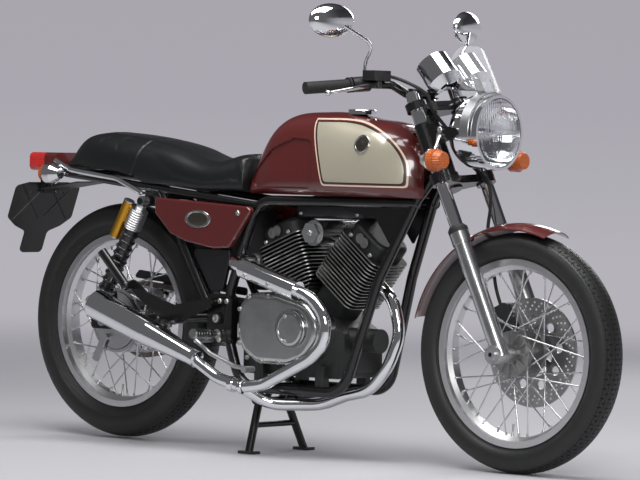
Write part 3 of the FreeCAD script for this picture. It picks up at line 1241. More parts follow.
def screen_sheet(front_inset, back_inset, z_from, z_to):
    """The curved sheet of the screen, or a layer at some depth behind its face."""
    foot = V(SCREEN_FOOT_X, 0, SCREEN_FOOT_Z)
    rise = V(SCREEN_TOP_X, 0, SCREEN_TOP_Z) - foot
    start = foot + rise * ((z_from - SCREEN_FOOT_Z) / rise.z)
    edges = []
    ends = []
    for inset in (front_inset, back_inset):
        left = start + V(-SCREEN_SAG - inset, -SCREEN_HALF_WIDTH, 0)
        right = mirror_point(left)
        edges.append(Part.Arc(left, start - X_AXIS * inset, right).toShape())
        ends.append((left, right))
    for outer, inner in zip(ends[0], ends[1]):
        edges.append(Part.LineSegment(outer, inner).toShape())
    profile = Part.Face(Part.Wire(Part.sortEdges(edges)[0]))
    return profile.extrude(rise * ((z_to - z_from) / rise.z))


def flyscreen():
    """A small curved windscreen with an arched outline."""
    sheet = screen_sheet(0, SCREEN_WALL, SCREEN_FOOT_Z, SCREEN_TOP_Z)
    low = SCREEN_FOOT_Z - CUT_OVERRUN
    height = SCREEN_TOP_Z - low
    outline = [V(0, y * SCREEN_HALF_WIDTH, low + z * height) for y, z in SCREEN_SHARES]
    window = Part.Face(Part.Wire(rounded_edges(outline, SCREEN_CORNER, True)))
    window.translate(X_AXIS * LAMP_X / 2)
    return sheet.common(window.extrude(X_AXIS * LAMP_X))


def screen_band():
    """A bright strip bent over the headlamp from ear to ear, with two tabs behind the screen's foot."""
    inner = LAMP_RIM_RADIUS + LAMP_EAR_WALL + 2 * SEAT_GAP
    start = V(LAMP_X + LAMP_BOLT_HEAD_RADIUS + SEAT_GAP, 0, LAMP_Z)
    end = start + X_AXIS * SCREEN_BAND_WIDTH
    band = rod(start, end, inner + SCREEN_BAND_WALL).cut(rod(start, end, inner))
    reach = inner + SCREEN_BAND_WALL
    below = block(start.x, end.x, -reach, reach, LAMP_Z - reach, LAMP_Z - LAMP_BOLT_HEAD_RADIUS)
    depth = SCREEN_WALL + SEAT_GAP
    layer = screen_sheet(depth, depth + SCREEN_BAND_WALL, SCREEN_FOOT_Z - SCREEN_TAB_DEPTH * 2,
                         SCREEN_FOOT_Z + SCREEN_TAB_HEIGHT)
    tabs = []
    for side in (-1, 1):
        low_y = min(side * SCREEN_TAB_INNER_Y, side * SCREEN_TAB_OUTER_Y)
        keep = block(0, 2 * SCREEN_FOOT_X, low_y, low_y + SCREEN_TAB_OUTER_Y - SCREEN_TAB_INNER_Y,
                     LAMP_Z, SCREEN_FOOT_Z + SCREEN_TAB_HEIGHT)
        tabs.append(layer.common(keep))
    core = rod(start, end, inner)
    return joined([band.cut(below)] + tabs).cut(core)


def caliper():
    """A single sliding caliper behind the left leg, straddling the disc, with lugs to the slider."""
    low = CALIPER_AT - CALIPER_LENGTH / 2
    body = Part.makeBox(CALIPER_DEPTH, CALIPER_WIDTH, CALIPER_LENGTH,
                        V(-CALIPER_BEHIND - CALIPER_DEPTH, CALIPER_INNER_Y, low))
    upright = []
    for edge in body.Edges:
        start = edge.Vertexes[0].Point
        end = edge.Vertexes[1].Point
        if abs(start.y - end.y) > CALIPER_WIDTH / 2:
            upright.append(edge)
    body = body.makeFillet(CALIPER_CORNER, upright)
    lugs = []
    for along in (low + CALIPER_CORNER, low + CALIPER_LENGTH - 2 * CALIPER_CORNER):
        lugs.append(Part.makeBox(CALIPER_DEPTH / 2 + CALIPER_BEHIND, CALIPER_CORNER, CALIPER_CORNER,
                                 V(-CALIPER_BEHIND - CALIPER_DEPTH / 2,
                                   CALIPER_INNER_Y + CALIPER_WIDTH - CALIPER_CORNER, along)))
    whole = on_fork(joined([body] + lugs), 0)
    slider = rod(fork_point(0, 0, FORK_HALF_SPACING), fork_point(SLIDER_TOP_AT, 0, FORK_HALF_SPACING),
                 SLIDER_RADIUS + SEAT_GAP)
    disc_from = DISC_Y - CALIPER_PAD_GAP
    disc_to = DISC_Y + DISC_THICKNESS + CALIPER_PAD_GAP
    slot = cross_rod(WHEELBASE, FRONT_TYRE_RADIUS, disc_from, disc_to, DISC_RADIUS + 2 * CALIPER_PAD_GAP)
    return whole.cut([slider, slot])


def brake_hose():
    """The hose from the caliper, up inside the left leg and round to the master cylinder."""
    low = CALIPER_AT + CALIPER_LENGTH / 2 + SEAT_GAP
    middle_y = CALIPER_INNER_Y + CALIPER_WIDTH / 2
    middle = -CALIPER_BEHIND - CALIPER_DEPTH / 2
    points = [fork_point(low, middle, middle_y), fork_point(low + HOSE_LAST_RUN, middle, middle_y)]
    for along, ahead, side in HOSE_ROUTE:
        points.append(fork_point(along, ahead, side))
    inner = mirror_point(bar_at(SWITCH_START_Y + SWITCH_RADIUS))
    port = inner + V(LEVER_BALL_RADIUS + MASTER_WIDTH / 2, MASTER_LENGTH / 2 + SEAT_GAP,
                     LEVER_BALL_RADIUS + MASTER_HEIGHT / 2)
    points += [port + Y_AXIS * HOSE_LAST_RUN, port]
    return tube(points, HOSE_RADIUS, HOSE_BEND)


def scaled(shares, origin, length, half_width, height):
    """Places given as shares of a piece's length, half width and height."""
    return [origin + V(x * length, y * half_width, z * height) for x, y, z in shares]


def frame_route(shares):
    origin = V(FRAME_REAR_X, 0, CRADLE_Z)
    return scaled(shares, origin, FRAME_HEAD_X - FRAME_REAR_X, FRAME_HALF_WIDTH, FRAME_HEAD_Z - CRADLE_Z)


def head_axis(along):
    return fork_point(along, -FORK_OFFSET, 0)


def head_tube():
    """The steering head: a bored tube with a bearing cup at each end."""
    low = LOWER_YOKE_AT + LOWER_YOKE_DEPTH / 2 + HEAD_RACE_GAP
    high = UPPER_YOKE_AT - UPPER_YOKE_DEPTH / 2 - HEAD_RACE_GAP
    body = rod(head_axis(low), head_axis(high), HEAD_TUBE_RADIUS)
    lower_race = rod(head_axis(low), head_axis(low + HEAD_RACE_HEIGHT), HEAD_RACE_RADIUS)
    upper_race = rod(head_axis(high - HEAD_RACE_HEIGHT), head_axis(high), HEAD_RACE_RADIUS)
    bore = rod(head_axis(LOWER_YOKE_AT), head_axis(UPPER_YOKE_AT), STEM_RADIUS + RUN_FIT)
    return joined([body, lower_race, upper_race]).cut(bore)


def pivot_plate():
    outline = [(PIVOT_PLATE_REAR_X, PIVOT_PLATE_BOTTOM_Z), (PIVOT_PLATE_FRONT_X, PIVOT_PLATE_BOTTOM_Z),
               (PIVOT_PLATE_FRONT_X, PIVOT_PLATE_TOP_Z), (PIVOT_PLATE_REAR_X, PIVOT_PLATE_TOP_Z)]
    return side_plate(outline, PIVOT_PLATE_INNER_Y, PIVOT_PLATE_OUTER_Y, PIVOT_NUT_RADIUS)


def frame_upper():
    """The left upright and top rail in one bent tube, with the pivot plate and head gusset."""
    rail = tube(frame_route(UPPER_TUBE_SHARES), FRAME_TUBE_RADIUS, FRAME_BEND)
    length = FRAME_HEAD_X - FRAME_REAR_X
    height = FRAME_HEAD_Z - CRADLE_Z
    places = [(FRAME_REAR_X + x * length, CRADLE_Z + z * height) for x, z in GUSSET_SHARES]
    gusset_y = FRAME_HALF_WIDTH / 2
    gusset = side_plate(places, gusset_y - GUSSET_WALL / 2, gusset_y + GUSSET_WALL / 2, GUSSET_WALL)
    body = joined([rail, gusset, pivot_plate()]).cut(frame_down_solid())
    bore = cross_rod(PIVOT_X, PIVOT_Z, 0, 2 * PIVOT_PLATE_OUTER_Y, PIVOT_BOLT_RADIUS + RUN_FIT)
    return body.cut(bore)


def frame_down_solid():
    """The lower tube without its last upright run, which is the part that the upper tube meets."""
    return tube(frame_route(LOWER_TUBE_SHARES[:-1]), FRAME_TUBE_RADIUS, FRAME_BEND)


def frame_lower(upper):
    """The left down tube and cradle rail, cut to the head tube and to the upper tube."""
    whole = tube(frame_route(LOWER_TUBE_SHARES), FRAME_TUBE_RADIUS, FRAME_BEND)
    return whole.cut([head_tube_solid(), upper])


def head_tube_solid():
    low = LOWER_YOKE_AT + LOWER_YOKE_DEPTH / 2 + HEAD_RACE_GAP
    race = rod(head_axis(low - HEAD_RACE_HEIGHT), head_axis(low + HEAD_RACE_HEIGHT), HEAD_RACE_RADIUS)
    return joined([rod(head_axis(low), head_axis(UPPER_YOKE_AT), HEAD_TUBE_RADIUS), race])


def cross_tubes(lowers):
    """The tube between the cradle rails with the two lugs and the headed pin of the centre stand."""
    span = FRAME_HALF_WIDTH
    low = cross_rod(CROSS_TUBE_X, CRADLE_Z, -span, span, CROSS_TUBE_RADIUS)
    reach = STAND_PIN_RADIUS + STAND_LUG_WALL / 2
    outline = [(CENTRE_STAND_X - reach, CENTRE_STAND_Z - reach), (CENTRE_STAND_X + reach,
                                                                  CENTRE_STAND_Z - reach),
               (CROSS_TUBE_X + CROSS_TUBE_RADIUS, CRADLE_Z), (CROSS_TUBE_X - CROSS_TUBE_RADIUS, CRADLE_Z)]
    bodies = [low]
    head = CENTRE_STAND_HALF_WIDTH + STAND_LUG_WALL + STAND_EYE_WIDTH + 2 * SEAT_GAP
    for side in (-1, 1):
        inner = side * CENTRE_STAND_HALF_WIDTH
        y_from = min(inner, inner + side * STAND_LUG_WALL)
        bodies.append(side_plate(outline, y_from, y_from + STAND_LUG_WALL, STAND_LUG_WALL / 2))
        y_head = min(side * head, side * (head + STAND_PIN_HEAD))
        bodies.append(cross_rod(CENTRE_STAND_X, CENTRE_STAND_Z, y_head, y_head + STAND_PIN_HEAD,
                                STAND_PIN_RADIUS + STAND_PIN_HEAD))
    bodies.append(cross_rod(CENTRE_STAND_X, CENTRE_STAND_Z, -head, head, STAND_PIN_RADIUS))
    return joined(bodies).cut(lowers)


def seat_rails(uppers):
    """The seat loop and its two stays, with the brackets and studs of the shock absorbers."""
    y = SEAT_RAIL_HALF_WIDTH
    left = [V(SEAT_RAIL_FRONT_X, FRAME_HALF_WIDTH, SEAT_RAIL_FRONT_Z), V(SEAT_RAIL_KNEE_X, y,
                                                                         SEAT_RAIL_KNEE_Z),
            V(SEAT_RAIL_REAR_X, y, SEAT_RAIL_REAR_Z)]
    loop = tube(left + [mirror_point(point) for point in reversed(left)], SEAT_RAIL_RADIUS, FRAME_BEND)
    run = (SEAT_RAIL_KNEE_X - STAY_TOP_X) / (SEAT_RAIL_KNEE_X - SEAT_RAIL_REAR_X)
    stay_top_z = SEAT_RAIL_KNEE_Z + run * (SEAT_RAIL_REAR_Z - SEAT_RAIL_KNEE_Z)
    bodies = [loop]
    for side in (-1, 1):
        bodies.append(rod(V(STAY_TOP_X, side * y, stay_top_z), V(STAY_FOOT_X, side * y, STAY_FOOT_Z),
                          SEAT_RAIL_RADIUS))
        eye = SHOCK_EYE_RADIUS
        outline = [(SHOCK_TOP_X - eye, SHOCK_TOP_Z - eye), (STAY_TOP_X + eye, SHOCK_TOP_Z - eye),
                   (STAY_TOP_X + eye, stay_top_z), (SHOCK_TOP_X - eye, stay_top_z)]
        y_from = side * y - SHOCK_BRACKET_WALL / 2
        bodies.append(side_plate(outline, y_from, y_from + SHOCK_BRACKET_WALL, eye / 2))
        bodies += shock_stud(SHOCK_TOP_X, SHOCK_TOP_Z, side, y)
    return joined(bodies).cut(uppers)


def shock_stud(x, z, side, from_y):
    """A stud that carries a shock absorber's eye, with its washer head."""
    head_y = SHOCK_Y + SHOCK_EYE_HALF_WIDTH + SEAT_GAP
    start = V(x, side * from_y, z)
    head = V(x, side * head_y, z)
    end = V(x, side * (head_y + SHOCK_BOLT_HEAD_HEIGHT), z)
    return [rod(start, head, SHOCK_BOLT_RADIUS), rod(head, end, SHOCK_BOLT_HEAD_RADIUS)]


def arm_point(x, spread, lift):
    """A point of the left arm's centre line from shares of its length, spread and rise."""
    y = ARM_ROOT_Y + spread * (ARM_HALF_SPACING - ARM_ROOT_Y)
    return V(x * PIVOT_X, y, REAR_AXLE.z + lift * (PIVOT_Z - REAR_AXLE.z))


def arm_height(x):
    """The height of the arm's centre line on its straight run beside the wheel."""
    front, rear = [arm_point(*share) for share in ARM_SHARES[-2:]]
    return rear.z + (x - rear.x) / (front.x - rear.x) * (front.z - rear.z)


def swingarm():
    """The fork of the rear wheel: pivot tube, two bent arms, slotted end plates and shock studs."""
    y = ARM_HALF_SPACING
    inner_y = PIVOT_PLATE_INNER_Y - SEAT_GAP
    bodies = [cross_rod(PIVOT_X, PIVOT_Z, -inner_y, inner_y, ARM_ROOT_RADIUS)]
    bolt_y = PIVOT_PLATE_OUTER_Y + SEAT_GAP + PIVOT_NUT_HEIGHT
    bodies.append(cross_rod(PIVOT_X, PIVOT_Z, -bolt_y, bolt_y, PIVOT_BOLT_RADIUS))
    for side in (-1, 1):
        nut = V(PIVOT_X, side * (PIVOT_PLATE_OUTER_Y + SEAT_GAP), PIVOT_Z)
        bodies.append(rod(nut, nut + Y_AXIS * side * PIVOT_NUT_HEIGHT, PIVOT_NUT_RADIUS))
        route = [arm_point(x, spread, lift) for x, spread, lift in ARM_SHARES]
        if side < 0:
            route = [mirror_point(point) for point in route]
        bodies.append(tube(route, ARM_RADIUS, FRAME_BEND))
        y_from = side * y - ARM_PLATE_WALL / 2
        plate = [(ARM_PLATE_REAR_X, REAR_AXLE.z - ARM_PLATE_HALF_HEIGHT),
                 (ARM_PLATE_FRONT_X, REAR_AXLE.z - ARM_PLATE_HALF_HEIGHT),
                 (ARM_PLATE_FRONT_X, REAR_AXLE.z + ARM_PLATE_HALF_HEIGHT),
                 (ARM_PLATE_REAR_X, REAR_AXLE.z + ARM_PLATE_HALF_HEIGHT)]
        bodies.append(side_plate(plate, y_from, y_from + ARM_PLATE_WALL, ARM_PLATE_HALF_HEIGHT / 2))
        eye = SHOCK_EYE_RADIUS
        lug = [(SHOCK_FOOT_X - eye - SHOCK_BRACKET_WALL, REAR_AXLE.z), (SHOCK_FOOT_X + 2 * eye, REAR_AXLE.z),
               (SHOCK_FOOT_X + eye, SHOCK_FOOT_Z + eye), (SHOCK_FOOT_X - eye, SHOCK_FOOT_Z + eye)]
        bodies.append(side_plate(lug, y_from, y_from + SHOCK_BRACKET_WALL, eye / 2))
        bodies += shock_stud(SHOCK_FOOT_X, SHOCK_FOOT_Z, side, y)
    bore = cross_rod(0, REAR_AXLE.z, -2 * y, 2 * y, AXLE_RADIUS + RUN_FIT)
    return joined(bodies).cut(bore)


def shock_absorber():
    """One shock absorber: two eyes, a polished upper body, a spring between cups and the damper rod."""
    top = V(SHOCK_TOP_X, SHOCK_Y, SHOCK_TOP_Z)
    foot = V(SHOCK_FOOT_X, SHOCK_Y, SHOCK_FOOT_Z)
    down = foot - top
    down.normalize()
    head_end = top + down * SHOCK_HEAD_LENGTH
    cup = foot - down * (SHOCK_EYE_RADIUS + SHOCK_CUP_HEIGHT)
    neck = SHOCK_BOLT_HEAD_RADIUS + RIM_WALL / 2
    bodies = [rod(top + down * neck, top + down * SHOCK_EYE_RADIUS * 3, SHOCK_BODY_RADIUS),
              rod(top + down * SHOCK_EYE_RADIUS * 2, head_end, SHOCK_HEAD_RADIUS),
              rod(head_end, foot - down * neck, SHOCK_BODY_RADIUS),
              rod(cup, cup + down * SHOCK_CUP_HEIGHT, SHOCK_CUP_RADIUS)]
    for place in (top, foot):
        bodies.append(rod(place - Y_AXIS * SHOCK_EYE_HALF_WIDTH, place + Y_AXIS * SHOCK_EYE_HALF_WIDTH,
                          SHOCK_EYE_RADIUS))
    coil_run = (cup - head_end).Length
    pitch = coil_run / SPRING_TURNS
    for index in range(1, SPRING_TURNS):
        middle = head_end + down * pitch * index
        ring = Part.makeTorus(SPRING_RADIUS - SPRING_WIRE_RADIUS, SPRING_WIRE_RADIUS, middle, down)
        bodies.append(ring)
    sleeve = rod(head_end, cup, SPRING_RADIUS - SPRING_WIRE_RADIUS)
    bodies.append(sleeve)
    bores = [cross_rod(place.x, place.z, 0, 2 * SHOCK_Y,
                       SHOCK_BOLT_RADIUS + SEAT_GAP) for place in (top, foot)]
    return joined(bodies).cut(bores)


def shock_reservoir():
    """The gas reservoir behind the shock absorber, on a short arm from its head."""
    top = V(SHOCK_TOP_X, SHOCK_Y, SHOCK_TOP_Z)
    foot = V(SHOCK_FOOT_X, SHOCK_Y, SHOCK_FOOT_Z)
    down = foot - top
    down.normalize()
    back = V(down.z, 0, -down.x)
    start = top + down * RESERVOIR_DROP + back * RESERVOIR_SPACING
    body = rod(start, start + down * RESERVOIR_LENGTH, RESERVOIR_RADIUS)
    arm_at = top + down * (RESERVOIR_DROP + RESERVOIR_RADIUS)
    arm = rod(arm_at + back * SHOCK_HEAD_RADIUS / 2, start + down * RESERVOIR_RADIUS, RESERVOIR_RADIUS / 2)
    head = rod(top, top + down * SHOCK_HEAD_LENGTH, SHOCK_HEAD_RADIUS + SEAT_GAP)
    return joined([body, arm]).cut(head)


def chain_outline(offset, y_from, y_to):
    """The belt shape round both sprockets, as far outside their pitch circles as the offset."""
    big = pitch_radius(SPROCKET_TEETH) + offset
    small = pitch_radius(DRIVE_SPROCKET_TEETH) + offset
    run = DRIVE_SPROCKET - REAR_AXLE
    slope = math.atan2(run.z, run.x)
    lean = math.acos((big - small) / run.Length)
    corners = []
    for centre, radius, sign in ((REAR_AXLE, big, 1), (DRIVE_SPROCKET, small, 1),
                                 (DRIVE_SPROCKET, small, -1), (REAR_AXLE, big, -1)):
        angle = slope + sign * lean
        corners.append(V(centre.x + radius * math.cos(angle), y_from, centre.z + radius * math.sin(angle)))
    middle = Part.Face(Part.makePolygon(corners + corners[:1])).extrude(Y_AXIS * (y_to - y_from))
    ends = [cross_rod(0, REAR_AXLE.z, y_from, y_to, big),
            cross_rod(DRIVE_SPROCKET.x, DRIVE_SPROCKET.z, y_from, y_to, small)]
    return joined([middle] + ends), corners


def drive_chain():
    """Two bands of link plates round the sprockets, tied by pins along the free runs."""
    bands = []
    for y_from in (SPROCKET_Y - CHAIN_HALF_WIDTH, SPROCKET_Y + CHAIN_HALF_WIDTH - CHAIN_PLATE_WALL):
        y_to = y_from + CHAIN_PLATE_WALL
        outer = chain_outline(CHAIN_HALF_HEIGHT, y_from, y_to)[0]
        bands.append(outer.cut(chain_outline(-CHAIN_HALF_HEIGHT, y_from, y_to)[0]))
    corners = chain_outline(0, 0, CHAIN_HALF_WIDTH)[1]
    pins = []
    for start, end in ((corners[0], corners[1]), (corners[3], corners[2])):
        run = end - start
        count = math.floor(run.Length / CHAIN_PITCH)
        for index in range(CHAIN_CLEAR_PINS, count):
            place = start + run * (index * CHAIN_PITCH / run.Length)
            pins.append(cross_rod(place.x, place.z, SPROCKET_Y - CHAIN_HALF_WIDTH,
                                  SPROCKET_Y + CHAIN_HALF_WIDTH, CHAIN_PIN_RADIUS))
    return joined(bands + pins)


def rear_axle():
    """The spindle with the brake panel, its cam lever and the torque arm on the right."""
    arm_outer = ARM_HALF_SPACING + ARM_PLATE_WALL / 2
    arm_inner = ARM_HALF_SPACING - ARM_PLATE_WALL / 2
    z = REAR_AXLE.z
    nut = arm_outer + SEAT_GAP
    shaft = cross_rod(0, z, -nut - AXLE_HEAD_LENGTH, nut + AXLE_HEAD_LENGTH, AXLE_RADIUS)
    bodies = [shaft, cross_rod(0, z, nut, nut + AXLE_HEAD_LENGTH, AXLE_HEAD_RADIUS),
              cross_rod(0, z, -nut - AXLE_HEAD_LENGTH, -nut, AXLE_HEAD_RADIUS)]
    spacer_from = SPROCKET_Y + SPROCKET_THICKNESS / 2 + SEAT_GAP
    bodies.append(cross_rod(0, z, spacer_from, arm_inner - SEAT_GAP, AXLE_HEAD_RADIUS))
    panel_radius = REAR_DRUM_RADIUS - REAR_DRUM_WALL - BRAKE_PANEL_GAP
    panel_outer = -REAR_DRUM_OUTER_Y - BRAKE_PANEL_GAP
    bodies.append(cross_rod(0, z, panel_outer, panel_outer + BRAKE_PANEL_DEPTH, panel_radius))
    bodies.append(cross_rod(0, z, SEAT_GAP - arm_inner, panel_outer, BRAKE_PANEL_BOSS_RADIUS))
    cam = V(-BRAKE_CAM_RADIUS / 2, panel_outer, z - BRAKE_CAM_RADIUS * BRAKE_CAM_DROP_SHARE)
    lever_y = panel_outer - BRAKE_LEVER_WALL * 2
    bodies.append(rod(cam, V(cam.x, lever_y, cam.z), BRAKE_LEVER_WIDTH / 2))
    tip = V(cam.x - BRAKE_LEVER_LENGTH / 2, lever_y, cam.z - BRAKE_LEVER_LENGTH * BRAKE_CAM_DROP_SHARE)
    half = BRAKE_LEVER_WIDTH / 2
    lever = [(cam.x - half, cam.z + half), (cam.x + half, cam.z), (tip.x + half, tip.z - half),
             (tip.x - half, tip.z)]
    bodies.append(side_plate(lever, lever_y, lever_y + BRAKE_LEVER_WALL, half / 2))
    return joined(bodies)




def leaned(shape, lean_deg):
    """Turn a piece built upright over the origin to its cylinder's lean, and set it on the crankshaft."""
    turned_shape = shape.copy()
    turned_shape.rotate(V(0, 0, 0), Y_AXIS, lean_deg)
    turned_shape.translate(CRANK)
    return turned_shape


def leaned_point(across, up, side, lean_deg):
    lean = math.radians(lean_deg)
    along = V(math.sin(lean), 0, math.cos(lean))
    square = V(math.cos(lean), 0, -math.sin(lean))
    return CRANK + along * up + square * across + Y_AXIS * side


def fin_plate(z, height, reach, half_width, corner):
    outline = [(-reach, -half_width), (reach, -half_width), (reach, half_width), (-reach, half_width)]
    return flat_plate(outline, z, z + height, corner)


def finned_cylinder(lean_deg, first_fin, fin_count, valley_side):
    """Barrel, head and rocker cover of one cylinder in one piece, with its stack of cooling fins."""
    last_fin = first_fin + FIN_PITCH * (fin_count - 1)
    cover_base = last_fin + FIN_WALL
    foot = BARREL_FOOT + SEAT_GAP
    core = fin_plate(foot, cover_base - foot, FIN_CORE_REACH, FIN_CORE_REACH, FIN_CORNER)
    bodies = [core]
    for index in range(fin_count):
        bodies.append(fin_plate(first_fin + FIN_PITCH * index, FIN_WALL, FIN_REACH, FIN_HALF_WIDTH,
                                FIN_CORNER))
    cover = fin_plate(cover_base, HEAD_COVER_HEIGHT, HEAD_COVER_REACH, HEAD_COVER_HALF_WIDTH,
                      HEAD_COVER_CORNER)
    top_edges = [edge for edge in cover.Edges if edge.BoundBox.ZMin > cover_base + HEAD_COVER_HEIGHT / 2]
    bodies.append(cover.makeFillet(HEAD_COVER_ROUND, top_edges))
    boss_z = cover_base + HEAD_COVER_HEIGHT / 2
    for side in (-1, 1):
        reach = HEAD_COVER_HALF_WIDTH + HEAD_COVER_BOSS_HEIGHT
        for across in (-HEAD_COVER_BOSS_SPREAD, HEAD_COVER_BOSS_SPREAD):
            bodies.append(rod(V(across, 0, boss_z), V(across, side * reach, boss_z), HEAD_COVER_BOSS_RADIUS))
    cylinder = leaned(joined(bodies), lean_deg)
    bisector = (FRONT_CYLINDER_LEAN_DEG + REAR_CYLINDER_LEAN_DEG) / 2
    far = -valley_side * VALLEY_BLOCK
    near = -valley_side * -VALLEY_GAP / 2
    blocker = block(min(far, near), max(far, near), -VALLEY_BLOCK, VALLEY_BLOCK, 0, 2 * VALLEY_BLOCK)
    return cylinder.cut(leaned(blocker, bisector))


def front_cylinder():
    body = finned_cylinder(FRONT_CYLINDER_LEAN_DEG, FRONT_FIN_START, FRONT_FIN_COUNT, 1)
    port = leaned_point(0, FRONT_PORT_AT, FRONT_PORT_Y, FRONT_CYLINDER_LEAN_DEG)
    face = leaned_point(PORT_FACE_REACH, FRONT_PORT_AT, FRONT_PORT_Y, FRONT_CYLINDER_LEAN_DEG)
    return joined([body, rod(port, face, PORT_RADIUS)])


def rear_cylinder():
    """The rear cylinder's port turns a right angle behind the fins, to let the pipe pass the frame."""
    body = finned_cylinder(REAR_CYLINDER_LEAN_DEG, REAR_FIN_START, REAR_FIN_COUNT, -1)
    port = leaned_point(0, REAR_PORT_AT, 0, REAR_CYLINDER_LEAN_DEG)
    elbow = rear_port_elbow()
    ball = Part.makeSphere(PORT_RADIUS + BALL_RISE, elbow)
    face = elbow - Y_AXIS * REAR_PORT_FACE_Y
    return joined([body, rod(port, elbow, PORT_RADIUS), ball, rod(elbow, face, PORT_RADIUS)])


def rear_port_elbow():
    return leaned_point(-REAR_PORT_REACH, REAR_PORT_AT, 0, REAR_CYLINDER_LEAN_DEG)


def crankcase():
    """The engine block under the cylinders, with its feet, oil filter and drive sprocket."""
    deck = [leaned_point(across, BARREL_FOOT, 0, lean) for across, lean in
            ((DECK_REACH, FRONT_CYLINDER_LEAN_DEG), (-DECK_REACH, REAR_CYLINDER_LEAN_DEG))]
    bisector = (FRONT_CYLINDER_LEAN_DEG + REAR_CYLINDER_LEAN_DEG) / 2
    half_angle = math.radians(FRONT_CYLINDER_LEAN_DEG - REAR_CYLINDER_LEAN_DEG) / 2
    crest = leaned_point(0, BARREL_FOOT / math.cos(half_angle), 0, bisector)
    outline = [(CASE_REAR_X, CASE_BOTTOM_Z), (CASE_FRONT_X, CASE_BOTTOM_Z),
               (CASE_FRONT_X, deck[0].z - CASE_SHOULDER), (deck[0].x, deck[0].z), (crest.x, crest.z),
               (deck[1].x, deck[1].z), (deck[1].x - CASE_REAR_SHOULDER, CASE_TOP_Z), (CASE_REAR_X,
                                                                                      CASE_TOP_Z)]
    body = side_plate(outline, -CASE_HALF_WIDTH, CASE_HALF_WIDTH, CASE_CORNER)
    pocket_y = SPROCKET_Y - CHAIN_HALF_WIDTH - SPROCKET_POCKET_GAP
    pocket = cross_rod(DRIVE_SPROCKET.x, DRIVE_SPROCKET.z, pocket_y, CASE_HALF_WIDTH * 2,
                       pitch_radius(DRIVE_SPROCKET_TEETH) + CHAIN_HALF_HEIGHT + SPROCKET_POCKET_GAP)
    body = body.cut(pocket)
    bodies = [body]
    half = SPROCKET_THICKNESS / 2
    bodies.append(cross_rod(DRIVE_SPROCKET.x, DRIVE_SPROCKET.z, SPROCKET_Y - half, SPROCKET_Y + half,
                            pitch_radius(DRIVE_SPROCKET_TEETH)))
    bodies.append(cross_rod(DRIVE_SPROCKET.x, DRIVE_SPROCKET.z, 0, SPROCKET_Y, OUTPUT_SHAFT_RADIUS))
    inner = FRAME_HALF_WIDTH - FRAME_TUBE_RADIUS - ENGINE_FOOT_LAP
    foot_z = CRADLE_Z + FRAME_TUBE_RADIUS + SEAT_GAP
    for x in (ENGINE_FOOT_REAR_X, ENGINE_FOOT_FRONT_X):
        for side in (-1, 1):
            low = min(side * inner, side * FRAME_HALF_WIDTH)
            bodies.append(block(x, x + ENGINE_FOOT_LENGTH, low, low + FRAME_HALF_WIDTH - inner, foot_z,
                                CASE_BOTTOM_Z + ENGINE_FOOT_LENGTH))
    filter_start = V(CASE_FRONT_X - CASE_CORNER, OIL_FILTER_Y, OIL_FILTER_Z)
    bodies.append(rod(filter_start, filter_start + X_AXIS * OIL_FILTER_LENGTH, OIL_FILTER_RADIUS))
    return joined(bodies)


def cover_plate(places, origin, y_inner, y_outer, corner, edge_round):
    """A cast cover on the side of the engine with a rounded rim."""
    outline = [(origin.x + x, origin.z + z) for x, z in places]
    cover = side_plate(outline, y_inner, y_outer, corner)
    rim_edges = [edge for edge in cover.Edges if abs(edge.BoundBox.YMin - y_outer) + abs(
        edge.BoundBox.YMax - y_outer) < edge_round / 2]
    return cover.makeFillet(edge_round, rim_edges)


def clutch_cover():
    """The right-hand cover: straight behind, round in front, with the round crankshaft cap."""
    width = CLUTCH_COVER_FRONT_X - CLUTCH_COVER_REAR_X
    height = CLUTCH_COVER_TOP_Z - CLUTCH_COVER_BOTTOM_Z
    places = [(x * width, z * height) for x, z in CLUTCH_COVER_SHARES]
    origin = V(CLUTCH_COVER_REAR_X, 0, CLUTCH_COVER_BOTTOM_Z)
    face = CASE_HALF_WIDTH + SEAT_GAP
    cover = cover_plate(places, origin, face, CLUTCH_COVER_OUTER_Y, CLUTCH_COVER_CORNER, CLUTCH_COVER_ROUND)
    cap = cross_rod(CRANK_CAP_X, CRANK_CAP_Z, face, CLUTCH_COVER_OUTER_Y + CRANK_CAP_HEIGHT, CRANK_CAP_RADIUS)
    return mirrored(joined([cover, cap]))


def generator_cover():
    """The left-hand covers over the generator and the drive sprocket."""
    face = CASE_HALF_WIDTH + SEAT_GAP
    drum = cross_rod(CRANK_X, CRANK_Z, face, LEFT_COVER_OUTER_Y, LEFT_COVER_RADIUS)
    rim_edges = [edge for edge in drum.Edges if edge.BoundBox.YMin > LEFT_COVER_OUTER_Y - CLUTCH_COVER_ROUND]
    drum = drum.makeFillet(CLUTCH_COVER_ROUND, rim_edges)
    lid_y = LEFT_COVER_OUTER_Y - SPROCKET_COVER_STEP
    lid = cross_rod(SPROCKET_COVER_X, SPROCKET_COVER_Z, face, lid_y, SPROCKET_COVER_RADIUS)
    web = block(SPROCKET_COVER_X, CRANK_X, face, lid_y, SPROCKET_COVER_Z - SPROCKET_COVER_RADIUS,
                SPROCKET_COVER_Z + SPROCKET_COVER_RADIUS)
    pocket = cross_rod(DRIVE_SPROCKET.x, DRIVE_SPROCKET.z, face - SEAT_GAP, face + SPROCKET_POCKET_GAP,
                       pitch_radius(DRIVE_SPROCKET_TEETH) + CHAIN_HALF_HEIGHT + SPROCKET_POCKET_GAP)
    return joined([drum, lid, web]).cut(pocket)


